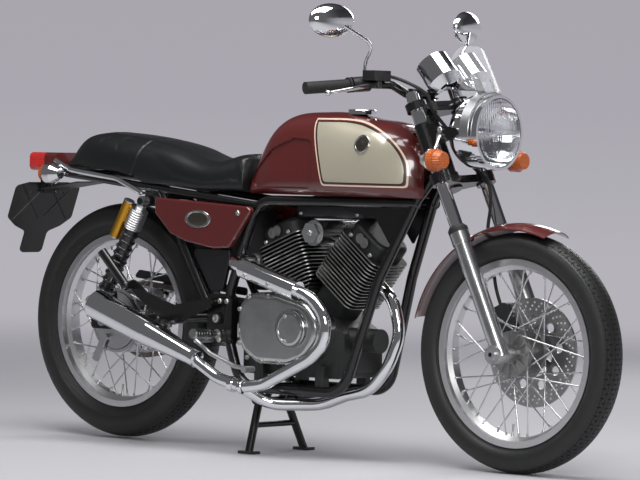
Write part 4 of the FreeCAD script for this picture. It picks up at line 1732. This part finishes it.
def carburettors():
    """The carburettors in the valley: a cross body and a duct to each head."""
    centre = V(INTAKE_X, 0, INTAKE_Z)
    bodies = [cross_rod(INTAKE_X, INTAKE_Z, -INTAKE_HALF_WIDTH, INTAKE_HALF_WIDTH, INTAKE_BODY_RADIUS)]
    for lean_deg, side in ((FRONT_CYLINDER_LEAN_DEG, -1), (REAR_CYLINDER_LEAN_DEG, 1)):
        lean = math.radians(lean_deg)
        square = V(math.cos(lean), 0, -math.sin(lean))
        across = (centre - CRANK).dot(square)
        run = -across + side * (FIN_REACH + SEAT_GAP)
        bodies.append(rod(centre, centre + square * run, INTAKE_DUCT_RADIUS))
    return joined(bodies)


def intake_cover():
    """The left hexagonal cap on the end of the carburettors."""
    corners = []
    for index in range(HEXAGON_SIDES + 1):
        angle = 2 * math.pi * index / HEXAGON_SIDES
        corners.append(V(INTAKE_X + INTAKE_HEX_RADIUS * math.cos(angle), INTAKE_HALF_WIDTH + SEAT_GAP,
                         INTAKE_Z + INTAKE_HEX_RADIUS * math.sin(angle)))
    face = Part.Face(Part.makePolygon(corners))
    return face.extrude(Y_AXIS * INTAKE_HEX_DEPTH)


def exhaust_pipes():
    """Both headers, joined under the engine at the collector, and the pipe to the silencer."""
    side = -EXHAUST_Y
    collector = V(COLLECTOR_X, side, COLLECTOR_Z)
    elbow = rear_port_elbow()
    start = elbow - Y_AXIS * (REAR_PORT_FACE_Y + SEAT_GAP)
    reach = CLUTCH_COVER_OUTER_Y + HEADER_RADIUS + HEADER_COVER_GAP
    rear_route = [start, V(start.x, -reach, start.z)]
    rear_route += [V(x, -reach + inward * (reach - EXHAUST_Y), z) for x, z, inward in REAR_HEADER_BENDS]
    rear_route.append(collector)
    port = leaned_point(PORT_FACE_REACH + SEAT_GAP, FRONT_PORT_AT, FRONT_PORT_Y, FRONT_CYLINDER_LEAN_DEG)
    port_end = leaned_point(PORT_FACE_REACH + PORT_RUN, FRONT_PORT_AT, FRONT_PORT_Y, FRONT_CYLINDER_LEAN_DEG)
    front_route = [port, port_end] + [V(x, y, z) for x, y, z in FRONT_HEADER_BENDS] + [collector]
    silencer_front = V(SILENCER_FRONT_X, side, SILENCER_FRONT_Z)
    silencer_rear = V(SILENCER_REAR_X, side, SILENCER_REAR_Z)
    along = silencer_rear - silencer_front
    along.normalize()
    pipe_end = silencer_front + along * SILENCER_SOCKET
    knee = V(COLLECTOR_X - 2 * COLLECTOR_LENGTH, side, COLLECTOR_Z + COLLECTOR_RADIUS)
    pipe = tube([collector, knee, pipe_end], HEADER_RADIUS, HEADER_BEND)
    ball = Part.makeSphere(COLLECTOR_RADIUS, collector)
    shield_from = rear_route[1] + (rear_route[2] - rear_route[1]) * SHIELD_START_SHARE
    shield_to = rear_route[1] + (rear_route[2] - rear_route[1]) * SHIELD_END_SHARE
    shield = rod(shield_from, shield_to, SHIELD_RADIUS)
    return joined([tube(rear_route, HEADER_RADIUS, HEADER_BEND), tube(front_route, HEADER_RADIUS,
                                                                      HEADER_BEND),
                   ball, pipe, shield])


def silencer():
    """A long tapered silencer with a bored outlet and a socket round the pipe."""
    front = V(SILENCER_FRONT_X, -EXHAUST_Y, SILENCER_FRONT_Z)
    rear = V(SILENCER_REAR_X, -EXHAUST_Y, SILENCER_REAR_Z)
    along = rear - front
    length = along.Length
    along.normalize()
    middle = front + along * length * SILENCER_MID_SHARE
    round_start = rear - along * SILENCER_END_ROUND
    parts = [taper(front, middle, SILENCER_FRONT_RADIUS, SILENCER_MID_RADIUS),
             taper(middle, round_start, SILENCER_MID_RADIUS, SILENCER_REAR_RADIUS),
             taper(round_start, rear, SILENCER_REAR_RADIUS, SILENCER_REAR_RADIUS - SILENCER_END_ROUND),
             rod(round_start, rear + along * SILENCER_OUTLET_STANDOUT, SILENCER_OUTLET_RADIUS)]
    bore_radius = SILENCER_OUTLET_RADIUS - SILENCER_OUTLET_WALL
    bore = rod(rear - along * SILENCER_OUTLET_DEPTH, rear + along * 2 * SILENCER_OUTLET_STANDOUT, bore_radius)
    socket = rod(front - along, front + along * (SILENCER_SOCKET + SEAT_GAP), HEADER_RADIUS + SEAT_GAP)
    return joined(parts).cut([bore, socket])


def skinned_body(rear_x, length, bottom_z, height, half_width, stations, section):
    """A body drawn through cross-sections, each given as shares of the whole length, width and height."""
    wires = []
    for along, top_share, bottom_share, width_share in stations:
        low = bottom_z + bottom_share * height
        rise = bottom_z + top_share * height - low
        half = half_width * width_share
        right = [V(rear_x + along * length, across * half, low + up * rise) for across, up in section]
        left = [mirror_point(point) for point in reversed(right[1:-1])]
        curve = Part.BSplineCurve()
        curve.interpolate(Points=right + left, PeriodicFlag=True)
        wires.append(Part.Wire([curve.toShape()]))
    return Part.makeLoft(wires, True, False)


def fuel_tank():
    """The tank, flat underneath, with a notch for the steering head."""
    body = skinned_body(TANK_REAR_X, TANK_LENGTH, TANK_BOTTOM_Z, TANK_HEIGHT, TANK_HALF_WIDTH,
                        TANK_STATIONS, TANK_SECTION)
    front_x = TANK_REAR_X + TANK_LENGTH
    notch = block(front_x - TANK_TUNNEL_LENGTH, 2 * front_x, -TANK_TUNNEL_HALF_WIDTH, TANK_TUNNEL_HALF_WIDTH,
                  0, TANK_BOTTOM_Z + TANK_TUNNEL_HEIGHT)
    low_notch = block(front_x - TANK_TUNNEL_LENGTH, 2 * front_x, -TUBE_NOTCH_HALF_WIDTH,
                      TUBE_NOTCH_HALF_WIDTH,
                      0, TANK_BOTTOM_Z + TUBE_NOTCH_HEIGHT)
    above = block(0, 2 * front_x, -2 * TANK_HALF_WIDTH, 2 * TANK_HALF_WIDTH, TANK_BOTTOM_Z,
                  TANK_BOTTOM_Z + 2 * TANK_HEIGHT)
    well = cross_section_rod(FUEL_CAP_X, FUEL_CAP_SEAT_Z, 2 * FUEL_CAP_SEAT_Z, FUEL_CAP_RADIUS + SEAT_GAP)
    knee = side_plate(TANK_KNEE_PLACES, -2 * TANK_HALF_WIDTH, 2 * TANK_HALF_WIDTH, TANK_KNEE_CORNER)
    inner_skin = skinned_body(TANK_REAR_X, TANK_LENGTH, TANK_BOTTOM_Z, TANK_HEIGHT,
                              TANK_HALF_WIDTH - TANK_KNEE_DEPTH,
                              TANK_STATIONS, TANK_SECTION)
    return body.common(above).cut([notch, low_notch, well, knee.cut(inner_skin)])


def cross_section_rod(x, z_from, z_to, radius):
    return rod(V(x, 0, z_from), V(x, 0, z_to), radius)


def fuel_cap():
    """The filler cap: a knurled skirt under a lower, narrower lid."""
    base = FUEL_CAP_SEAT_Z + SEAT_GAP
    top = base + FUEL_CAP_HEIGHT
    skirt = cross_section_rod(FUEL_CAP_X, base, top, FUEL_CAP_RADIUS)
    lid_edges = [edge for edge in skirt.Edges if edge.BoundBox.ZMin > top - FUEL_CAP_HEIGHT / 2]
    return skirt.makeFillet(FUEL_CAP_ROUND, lid_edges)


def seat():
    """The low seat with its raised tail pad, hollow underneath where its skirt covers the seat rails."""
    body = skinned_body(SEAT_REAR_X, SEAT_LENGTH, SEAT_BOTTOM_Z, SEAT_HEIGHT, SEAT_HALF_WIDTH,
                        SEAT_STATIONS, SEAT_SECTION)
    lift = SEAT_RAIL_RADIUS + SEAT_GAP
    slope = (SEAT_RAIL_REAR_Z - SEAT_RAIL_KNEE_Z) / (SEAT_RAIL_REAR_X - SEAT_RAIL_KNEE_X)
    rise = math.sqrt(1 + slope ** 2) * lift
    rear_x = 2 * SEAT_REAR_X
    rear_z = SEAT_RAIL_KNEE_Z + slope * (rear_x - SEAT_RAIL_KNEE_X) + rise
    front_x = SEAT_REAR_X + 2 * SEAT_LENGTH
    inside = SEAT_RAIL_HALF_WIDTH + SEAT_RAIL_RADIUS + SEAT_SKIRT_GAP
    hollow = side_plate([(rear_x, 0), (front_x, 0), (front_x, SEAT_RAIL_KNEE_Z + rise),
                         (SEAT_RAIL_KNEE_X, SEAT_RAIL_KNEE_Z + rise), (rear_x, rear_z)], -inside, inside, 0)
    high = SEAT_BOTTOM_Z + 2 * SEAT_HEIGHT
    first_x, first_z = SEAT_SKIRT_PLACES[0]
    last_x, last_z = SEAT_SKIRT_PLACES[-1]
    skirt = [(rear_x, first_z)] + SEAT_SKIRT_PLACES + [(front_x, last_z), (front_x, high), (rear_x, high)]
    keep = side_plate(skirt, -2 * SEAT_HALF_WIDTH, 2 * SEAT_HALF_WIDTH, 0)
    gap_x = TANK_REAR_X - SEAT_FRONT_GAP
    ahead = block(gap_x, front_x, -2 * SEAT_HALF_WIDTH, 2 * SEAT_HALF_WIDTH, 0, high)
    return body.common(keep).cut([hollow, ahead])


def side_cover():
    """The left side cover, a flat shield with round corners and a rounded rim."""
    places = [(x * SIDE_COVER_LENGTH, z * SIDE_COVER_HEIGHT) for x, z in SIDE_COVER_SHARES]
    origin = V(SIDE_COVER_REAR_X, 0, SIDE_COVER_BOTTOM_Z)
    cover = cover_plate(places, origin, SIDE_COVER_INNER_Y, SIDE_COVER_OUTER_Y, SIDE_COVER_CORNER,
                        SIDE_COVER_ROUND)
    pins = []
    for x, z in SIDE_COVER_PIN_SHARES:
        pins.append(cross_rod(SIDE_COVER_REAR_X + x * SIDE_COVER_LENGTH,
                              SIDE_COVER_BOTTOM_Z + z * SIDE_COVER_HEIGHT,
                              battery_box_half_width() + SEAT_GAP,
                              SIDE_COVER_INNER_Y + SIDE_COVER_ROUND / 2, SIDE_COVER_PIN_RADIUS))
    return joined([cover] + pins)


def lower_cover():
    """The small lower cover between the frame upright and the stay, on the left."""
    places = [(x * LOWER_COVER_LENGTH, z * LOWER_COVER_HEIGHT) for x, z in LOWER_COVER_SHARES]
    origin = V(LOWER_COVER_REAR_X, 0, LOWER_COVER_BOTTOM_Z)
    return cover_plate(places, origin, LOWER_COVER_OUTER_Y - LOWER_COVER_WALL, LOWER_COVER_OUTER_Y,
                       LOWER_COVER_CORNER, LOWER_COVER_ROUND)


def battery_box_half_width():
    return LOWER_COVER_OUTER_Y - LOWER_COVER_WALL - SEAT_GAP


def battery_box():
    """The box between the seat rails that carries the covers, with a boss against each stay."""
    half = battery_box_half_width()
    bottom = LOWER_COVER_BOTTOM_Z + LOWER_COVER_HEIGHT / 2
    stay_y = SEAT_RAIL_HALF_WIDTH - SEAT_RAIL_RADIUS - SEAT_GAP
    bosses = cross_rod(BATTERY_BOSS_X, BATTERY_BOSS_Z, -stay_y, stay_y, BATTERY_BOSS_RADIUS)
    return joined([block(BATTERY_BOX_REAR_X, BATTERY_BOX_FRONT_X, -half, half, bottom,
                         BATTERY_BOX_TOP_Z), bosses])


def rear_undertray():
    """The sheet over the rear wheel, the plate board behind it and the bracket of the tail lamp."""
    outline = []
    for x, z in UNDERTRAY_PLACES:
        outline.append(V(x, -UNDERTRAY_HALF_WIDTH, z))
    upper = [V(point.x, point.y, point.z + UNDERTRAY_WALL) for point in reversed(outline)]
    wire = Part.Wire(rounded_edges(outline + upper, 0, True))
    sheet = Part.Face(wire).extrude(Y_AXIS * 2 * UNDERTRAY_HALF_WIDTH)
    rail_y = SEAT_RAIL_HALF_WIDTH - SEAT_RAIL_RADIUS - SEAT_GAP
    tie = cross_rod(UNDERTRAY_TIE_X, UNDERTRAY_TIE_Z, -rail_y, rail_y, UNDERTRAY_TIE_RADIUS)
    top = V(PLATE_TOP_X, 0, PLATE_TOP_Z)
    foot = V(PLATE_FOOT_X, 0, PLATE_FOOT_Z)
    down = foot - top
    length = down.Length
    down.normalize()
    out = V(down.z, 0, -down.x)
    corners = []
    for share, half in PLATE_SHARES:
        corners.append(top + down * length * share + Y_AXIS * half * PLATE_HALF_WIDTH)
    corners += [mirror_point(point) for point in reversed(corners)]
    board = Part.Face(Part.Wire(rounded_edges(corners, PLATE_CORNER, True))).extrude(out * PLATE_WALL)
    holes = []
    for side in (-1, 1):
        place = top + down * PLATE_HOLE_DROP + Y_AXIS * side * PLATE_HOLE_SPACING / 2
        holes.append(rod(place - out * PLATE_WALL, place + out * 2 * PLATE_WALL, PLATE_HOLE_RADIUS))
    arm_top = TAIL_LAMP_BOTTOM_Z - SEAT_GAP
    arm = block(TAIL_ARM_REAR_X, TAIL_ARM_FRONT_X, -TAIL_BRACKET_HALF_WIDTH, TAIL_BRACKET_HALF_WIDTH,
                arm_top - UNDERTRAY_WALL, arm_top)
    leg = block(TAIL_ARM_REAR_X, TAIL_ARM_REAR_X + UNDERTRAY_WALL, -TAIL_BRACKET_HALF_WIDTH,
                TAIL_BRACKET_HALF_WIDTH, PLATE_TOP_Z - PLATE_HOLE_DROP, arm_top)
    sheet_end_x, sheet_end_z = UNDERTRAY_PLACES[-1]
    foot_leg = block(min(TAIL_ARM_REAR_X, PLATE_TOP_X), sheet_end_x + UNDERTRAY_WALL,
                     -TAIL_BRACKET_HALF_WIDTH,
                     TAIL_BRACKET_HALF_WIDTH, sheet_end_z, sheet_end_z + UNDERTRAY_WALL)
    return joined([sheet, tie, board, arm, leg, foot_leg]).cut(holes)


def tail_lamp_part(x_from, x_to):
    half = TAIL_LAMP_HALF_WIDTH
    outline = [(-half, 0), (half, 0), (half, TAIL_LAMP_HEIGHT), (-half, TAIL_LAMP_HEIGHT)]
    points = [V(x_from, y, TAIL_LAMP_BOTTOM_Z + z) for y, z in outline]
    wire = Part.Wire(rounded_edges(points, TAIL_LAMP_CORNER, True))
    return Part.Face(wire).extrude(X_AXIS * (x_to - x_from))


def tail_lamp():
    """The lamp housing, tapering forward under the seat's tail."""
    split = TAIL_LAMP_REAR_X + TAIL_LENS_LENGTH
    return tail_lamp_part(split + SEAT_GAP, TAIL_LAMP_REAR_X + TAIL_LAMP_LENGTH)


def tail_lens():
    lens = tail_lamp_part(TAIL_LAMP_REAR_X, TAIL_LAMP_REAR_X + TAIL_LENS_LENGTH)
    rim_edges = [edge for edge in lens.Edges if edge.BoundBox.XMax < TAIL_LAMP_REAR_X + SEAT_GAP]
    return lens.makeFillet(TAIL_LENS_ROUND, rim_edges)


def grab_rail():
    """The chromed rail by the left of the tail pad, standing off the seat rail on two short feet."""
    places = [V(x, GRAB_RAIL_Y, z) for x, z in GRAB_RAIL_PLACES]
    rail = tube(places, GRAB_RAIL_RADIUS, FRAME_BEND)
    bodies = [rail]
    for place in (places[1], places[-1]):
        inner = SEAT_RAIL_HALF_WIDTH + SEAT_RAIL_RADIUS + SEAT_GAP
        bodies.append(cross_rod(place.x, place.z, inner, GRAB_RAIL_Y, GRAB_RAIL_RADIUS / 2))
    return joined(bodies)


def rear_indicator():
    """The left rear indicator: a bullet body, its lens facing back and a stalk from the seat rail."""
    centre = V(REAR_INDICATOR_X, REAR_INDICATOR_Y, REAR_INDICATOR_Z)
    foot = V(REAR_INDICATOR_X, REAR_INDICATOR_FOOT_Y, REAR_INDICATOR_Z)
    return indicator(centre, -1, foot)


def left_footrest():
    """A rider's footrest: a foot on the frame upright, an arm out and a ribbed rubber peg."""
    root = V(FOOTREST_X, PIVOT_PLATE_OUTER_Y + SEAT_GAP, FOOTREST_Z)
    knee = V(FOOTREST_X, FOOTREST_START_Y, FOOTREST_Z)
    tip = V(FOOTREST_X + FOOTREST_SWEEP, FOOTREST_END_Y, FOOTREST_Z + FOOTREST_RISE)
    bodies = [rod(root, root + Y_AXIS * FOOTREST_FOOT_WALL, FOOTREST_FOOT_RADIUS),
              rod(root, knee, FOOTREST_ARM_RADIUS), rod(knee, tip, FOOTREST_ARM_RADIUS),
              Part.makeSphere(FOOTREST_ARM_RADIUS + BALL_RISE, knee)]
    run = tip - knee
    rib = run * (1 / FOOTREST_RIBS)
    for index in range(1, FOOTREST_RIBS):
        start = knee + rib * index
        bodies.append(rod(start, start + rib * FOOTREST_RIB_SHARE, FOOTREST_RADIUS))
    bodies.append(rod(knee + rib, tip, FOOTREST_RADIUS - FOOTREST_RIB_DEPTH))
    return joined(bodies)


def pillion_bracket():
    """The left bracket behind the rider's footrest, with the folded passenger footrest."""
    y_from = PILLION_Y - PILLION_WALL / 2
    outline = [(x, z) for x, z in PILLION_PLACES]
    plate = side_plate(outline, y_from, y_from + PILLION_WALL, PILLION_CORNER)
    foot_x, foot_z = PILLION_PLACES[0]
    boss_x = foot_x - PILLION_CORNER
    boss_z = foot_z - PILLION_CORNER
    inner = PIVOT_PLATE_OUTER_Y + SEAT_GAP
    bodies = [plate, cross_rod(boss_x, boss_z, inner, PILLION_Y, PILLION_BOSS_RADIUS)]
    start = V(PEG_PIVOT_X, PEG_Y, PEG_PIVOT_Z)
    tip = V(PEG_TIP_X, PEG_Y + PEG_SPLAY, PEG_TIP_Z)
    bodies.append(rod(start, tip, PEG_RADIUS))
    bodies.append(cross_rod(PEG_PIVOT_X, PEG_PIVOT_Z, y_from, PEG_Y, PEG_RADIUS))
    bodies.append(Part.makeSphere(PEG_RADIUS + BALL_RISE, start))
    return joined(bodies)


def silencer_hanger():
    """The stud under the right bracket, as a lug on the bracket that reaches out to the silencer."""
    z = HANGER_Z
    front = V(SILENCER_FRONT_X, 0, SILENCER_FRONT_Z)
    rear = V(SILENCER_REAR_X, 0, SILENCER_REAR_Z)
    share = (SILENCER_FRONT_X - HANGER_X) / (SILENCER_FRONT_X - SILENCER_REAR_X)
    centre = front + (rear - front) * share
    lift = SILENCER_REAR_RADIUS + SEAT_GAP
    top = V(HANGER_X, -PILLION_Y, z)
    foot = V(HANGER_X, -EXHAUST_Y, centre.z + lift)
    return joined([rod(V(HANGER_X, -PILLION_Y + PILLION_WALL / 2, z), V(HANGER_X, -EXHAUST_Y, z),
                       HANGER_RADIUS),
                   rod(V(HANGER_X, -EXHAUST_Y, z), foot, HANGER_RADIUS),
                   Part.makeSphere(HANGER_RADIUS + BALL_RISE, V(HANGER_X, -EXHAUST_Y, z)),
                   rod(top, top + Z_AXIS, HANGER_RADIUS)])


def gear_pedal():
    """The gear pedal on the left, on its own shaft out of the engine."""
    y = GEAR_PEDAL_Y
    shaft = cross_rod(GEAR_SHAFT_X, GEAR_SHAFT_Z, CASE_HALF_WIDTH + SEAT_GAP, y, PEDAL_RADIUS)
    arm = rod(V(GEAR_SHAFT_X, y, GEAR_SHAFT_Z), V(GEAR_TIP_X, y, GEAR_TIP_Z), PEDAL_RADIUS)
    pad = cross_rod(GEAR_TIP_X, GEAR_TIP_Z, y - PEDAL_PAD_RADIUS, y + PEDAL_PAD_LENGTH, PEDAL_PAD_RADIUS)
    ball = Part.makeSphere(PEDAL_RADIUS + BALL_RISE, V(GEAR_SHAFT_X, y, GEAR_SHAFT_Z))
    return joined([shaft, arm, pad, ball])


def brake_pedal():
    """The brake pedal on the right: a shaft in the pivot plate, a swept arm and its pad."""
    y = -BRAKE_PEDAL_Y
    root = V(BRAKE_SHAFT_X, -PIVOT_PLATE_OUTER_Y - SEAT_GAP, BRAKE_SHAFT_Z)
    points = [V(BRAKE_SHAFT_X, y, BRAKE_SHAFT_Z)]
    points += [V(x, y, z) for x, z in BRAKE_PEDAL_BENDS]
    arm = tube(points, PEDAL_RADIUS, PEDAL_BEND)
    tip = points[-1]
    return joined([rod(root, points[0], PEDAL_RADIUS), Part.makeSphere(PEDAL_RADIUS + BALL_RISE,
                                                                       points[0]), arm,
                   cross_rod(tip.x, tip.z, y - PEDAL_PAD_LENGTH, y + PEDAL_PAD_RADIUS, PEDAL_PAD_RADIUS)])


def chain_guard():
    """The guard over the chain's top run, bolted to the left arm."""
    start = REAR_AXLE + V(-CHAIN_GUARD_LEAD, SPROCKET_Y, CHAIN_GUARD_RISE)
    end = V(CHAIN_GUARD_FRONT_X, SPROCKET_Y, CHAIN_GUARD_FRONT_Z)
    outline = [(start.x, start.z), (start.x + CHAIN_GUARD_DEPTH, start.z + CHAIN_GUARD_DEPTH),
               (end.x, end.z + CHAIN_GUARD_DEPTH), (end.x, end.z)]
    y_from = SPROCKET_Y + CHAIN_HALF_WIDTH + CHAIN_GUARD_GAP
    bodies = [side_plate(outline, y_from, y_from + CHAIN_GUARD_WALL, CHAIN_GUARD_CORNER)]
    slope = (end.z - start.z) / (end.x - start.x)
    for x in CHAIN_GUARD_LEG_PLACES:
        rear_x = x - CHAIN_GUARD_LEG_HALF_WIDTH
        front_x = x + CHAIN_GUARD_LEG_HALF_WIDTH
        foot_z = arm_height(front_x) + ARM_RADIUS + SEAT_GAP
        top_z = start.z + slope * (x - start.x) + CHAIN_GUARD_DEPTH / 2
        bodies.append(block(rear_x, front_x, y_from, y_from + CHAIN_GUARD_WALL, foot_z, top_z))
        bodies.append(block(rear_x, front_x, y_from, ARM_HALF_SPACING + CHAIN_GUARD_LEG_HALF_WIDTH, foot_z,
                            foot_z + CHAIN_GUARD_WALL))
    return joined(bodies)


def centre_stand():
    """The centre stand: two splayed legs, each on a bored eye, a brace between them and flat feet."""
    eye_y = CENTRE_STAND_HALF_WIDTH + STAND_LUG_WALL + SEAT_GAP
    top_y = eye_y + STAND_EYE_WIDTH / 2
    foot_top = STAND_FOOT_HEIGHT
    bodies = []
    for side in (-1, 1):
        low_y = min(side * eye_y, side * (eye_y + STAND_EYE_WIDTH))
        bodies.append(cross_rod(CENTRE_STAND_X, CENTRE_STAND_Z, low_y, low_y + STAND_EYE_WIDTH,
                                STAND_TUBE_RADIUS))
        top = V(CENTRE_STAND_X, side * top_y, CENTRE_STAND_Z)
        low = V(CENTRE_STAND_FOOT_X, side * CENTRE_STAND_SPREAD, foot_top / 2)
        bodies.append(rod(top, low, CENTRE_STAND_LEG_RADIUS))
        foot = block(CENTRE_STAND_FOOT_X - STAND_FOOT_LENGTH / 2, CENTRE_STAND_FOOT_X + STAND_FOOT_LENGTH / 2,
                     -STAND_FOOT_WIDTH / 2, STAND_FOOT_WIDTH / 2, 0, foot_top)
        foot.translate(Y_AXIS * side * CENTRE_STAND_SPREAD)
        bodies.append(foot)
    brace_x = CENTRE_STAND_X + (CENTRE_STAND_FOOT_X - CENTRE_STAND_X) * STAND_BRACE_SHARE
    brace_z = CENTRE_STAND_Z + (foot_top - CENTRE_STAND_Z) * STAND_BRACE_SHARE
    brace_y = top_y + (CENTRE_STAND_SPREAD - top_y) * STAND_BRACE_SHARE
    bodies.append(cross_rod(brace_x, brace_z, -brace_y, brace_y,
                            CENTRE_STAND_LEG_RADIUS - FOOTREST_RIB_DEPTH))
    floor = block(0, 2 * CENTRE_STAND_X, -2 * CENTRE_STAND_SPREAD, 2 * CENTRE_STAND_SPREAD,
                  -CENTRE_STAND_Z, 0)
    bore = cross_rod(CENTRE_STAND_X, CENTRE_STAND_Z, -2 * top_y, 2 * top_y, STAND_PIN_RADIUS + RUN_FIT)
    return joined(bodies).cut([floor, bore])


def side_stand():
    """The side stand, folded back along the left cradle rail, with its flat foot."""
    pivot = V(SIDE_STAND_X, SIDE_STAND_Y, SIDE_STAND_Z)
    fold = V(-math.cos(math.radians(SIDE_STAND_FOLD_DEG)), 0, -math.sin(math.radians(SIDE_STAND_FOLD_DEG)))
    tip = pivot + fold * SIDE_STAND_LENGTH
    eye = cross_rod(pivot.x, pivot.z, pivot.y - SIDE_STAND_EYE_HALF_WIDTH,
                    pivot.y + SIDE_STAND_EYE_HALF_WIDTH,
                    SIDE_STAND_EYE_RADIUS)
    leg = rod(pivot, tip, SIDE_STAND_RADIUS)
    toe = rod(tip, tip + fold * STAND_FOOT_HEIGHT, STAND_FOOT_WIDTH / 2)
    bore = cross_rod(pivot.x, pivot.z, pivot.y - 2 * SIDE_STAND_EYE_HALF_WIDTH,
                     pivot.y + 2 * SIDE_STAND_EYE_HALF_WIDTH, STAND_PIN_RADIUS + RUN_FIT)
    return joined([eye, leg, toe]).cut(bore)


def side_stand_lug():
    """The lug on the left cradle rail with the side stand's pivot pin."""
    pivot = V(SIDE_STAND_X, SIDE_STAND_Y, SIDE_STAND_Z)
    inner = pivot.y - SIDE_STAND_EYE_HALF_WIDTH - SEAT_GAP
    reach = SIDE_STAND_EYE_RADIUS
    outline = [(pivot.x - reach, pivot.z - reach), (pivot.x + reach, pivot.z - reach),
               (pivot.x + reach, CRADLE_Z), (pivot.x - reach, CRADLE_Z)]
    plate = side_plate(outline, FRAME_HALF_WIDTH, inner, reach / 2)
    end = pivot.y + SIDE_STAND_EYE_HALF_WIDTH + SEAT_GAP
    return [plate, cross_rod(pivot.x, pivot.z, inner, end + STAND_LUG_WALL, STAND_PIN_RADIUS),
            cross_rod(pivot.x, pivot.z, end, end + STAND_LUG_WALL, STAND_PIN_RADIUS + STAND_LUG_WALL)]


def assembly():
    """Every node with its shape, still measured from the rear axle."""
    upper = frame_upper()
    lower = frame_lower(upper)
    upper_right = mirrored(upper)
    lower_right = mirrored(lower)
    lower_left = joined([lower] + side_stand_lug())
    nodes = dict()
    nodes["frame_head"] = head_tube()
    nodes["frame_cradles"] = Part.Compound([lower_left, lower_right])
    nodes["frame_uppers"] = Part.Compound([upper, upper_right])
    nodes["frame_cross_tube"] = cross_tubes([lower_left, lower_right])
    nodes["seat_rails"] = seat_rails([upper, upper_right])
    nodes["swingarm"] = swingarm()
    nodes["shock_absorbers"] = pair(shock_absorber())
    nodes["shock_reservoirs"] = pair(shock_reservoir())
    nodes["crankcase"] = crankcase()
    nodes["clutch_cover"] = clutch_cover()
    nodes["generator_cover"] = generator_cover()
    nodes["front_cylinder"] = front_cylinder()
    nodes["rear_cylinder"] = rear_cylinder()
    nodes["carburettors"] = carburettors()
    nodes["intake_cover"] = pair(intake_cover())
    nodes["exhaust_pipes"] = exhaust_pipes()
    nodes["silencer"] = silencer()
    nodes["fuel_tank"] = fuel_tank()
    nodes["fuel_cap"] = fuel_cap()
    nodes["seat"] = seat()
    nodes["side_covers"] = pair(side_cover())
    nodes["battery_box"] = Part.Compound([battery_box(), pair(lower_cover())])
    nodes["rear_undertray"] = rear_undertray()
    nodes["tail_lamp"] = tail_lamp()
    nodes["tail_lens"] = tail_lens()
    nodes["grab_rails"] = pair(grab_rail())
    nodes["rear_indicators"] = pair(rear_indicator())
    nodes["footrests"] = pair(left_footrest())
    bracket = pillion_bracket()
    nodes["pillion_brackets"] = Part.Compound([bracket, joined([mirrored(bracket), silencer_hanger()])])
    nodes["foot_pedals"] = Part.Compound([gear_pedal(), brake_pedal()])
    nodes["drive_chain"] = drive_chain()
    nodes["chain_guard"] = chain_guard()
    nodes["rear_axle"] = rear_axle()
    nodes["lower_yoke"] = lower_yoke()
    nodes["upper_yoke"] = upper_yoke()
    nodes["fork_tubes"] = pair(fork_tube())
    nodes["fork_sliders"] = pair(fork_slider())
    nodes["front_axle"] = front_axle()
    nodes["front_mudguard"] = front_mudguard()
    nodes["headlamp_shell"] = headlamp_shell()
    nodes["headlamp_lens"] = headlamp_lens()
    nodes["headlamp_brackets"] = pair(headlamp_bracket())
    nodes["front_indicators"] = pair(front_indicator())
    nodes["instruments"] = Part.Compound([instrument(1), instrument(-1), instrument_bracket()])
    nodes["flyscreen"] = flyscreen()
    nodes["screen_band"] = screen_band()
    nodes["handlebar"] = handlebar()
    nodes["grips"] = pair(grip())
    nodes["hand_controls"] = Part.Compound([hand_control(False), mirrored(hand_control(True))])
    nodes["mirrors"] = pair(mirror())
    nodes["brake_caliper"] = caliper()
    nodes["brake_hose"] = brake_hose()
    nodes["front_tyre"] = tyre(FRONT_AXLE, FRONT_TYRE_RADIUS, FRONT_TYRE_WIDTH, FRONT_RIM_HALF_WIDTH)
    nodes["front_wire_wheel"] = front_wheel()
    nodes["rear_tyre"] = tyre(REAR_AXLE, REAR_TYRE_RADIUS, REAR_TYRE_WIDTH, REAR_RIM_HALF_WIDTH)
    nodes["rear_wire_wheel"] = rear_wheel()
    nodes["brake_disc"] = brake_disc()
    nodes["centre_stand_legs"] = centre_stand()
    nodes["side_stand_leg"] = side_stand()
    return nodes


def export():
    """Write one file for each node, moved so that the origin is the middle of the floor box."""
    nodes = assembly()
    rearmost = min(shape.BoundBox.XMin for shape in nodes.values())
    centre_x = (WHEELBASE + FRONT_TYRE_RADIUS + rearmost) / 2
    os.makedirs("parts", exist_ok=True)
    for name, shape in nodes.items():
        moved = shape.translated(X_AXIS * -centre_x)
        moved.exportStep("parts/" + name + ".step")


export()
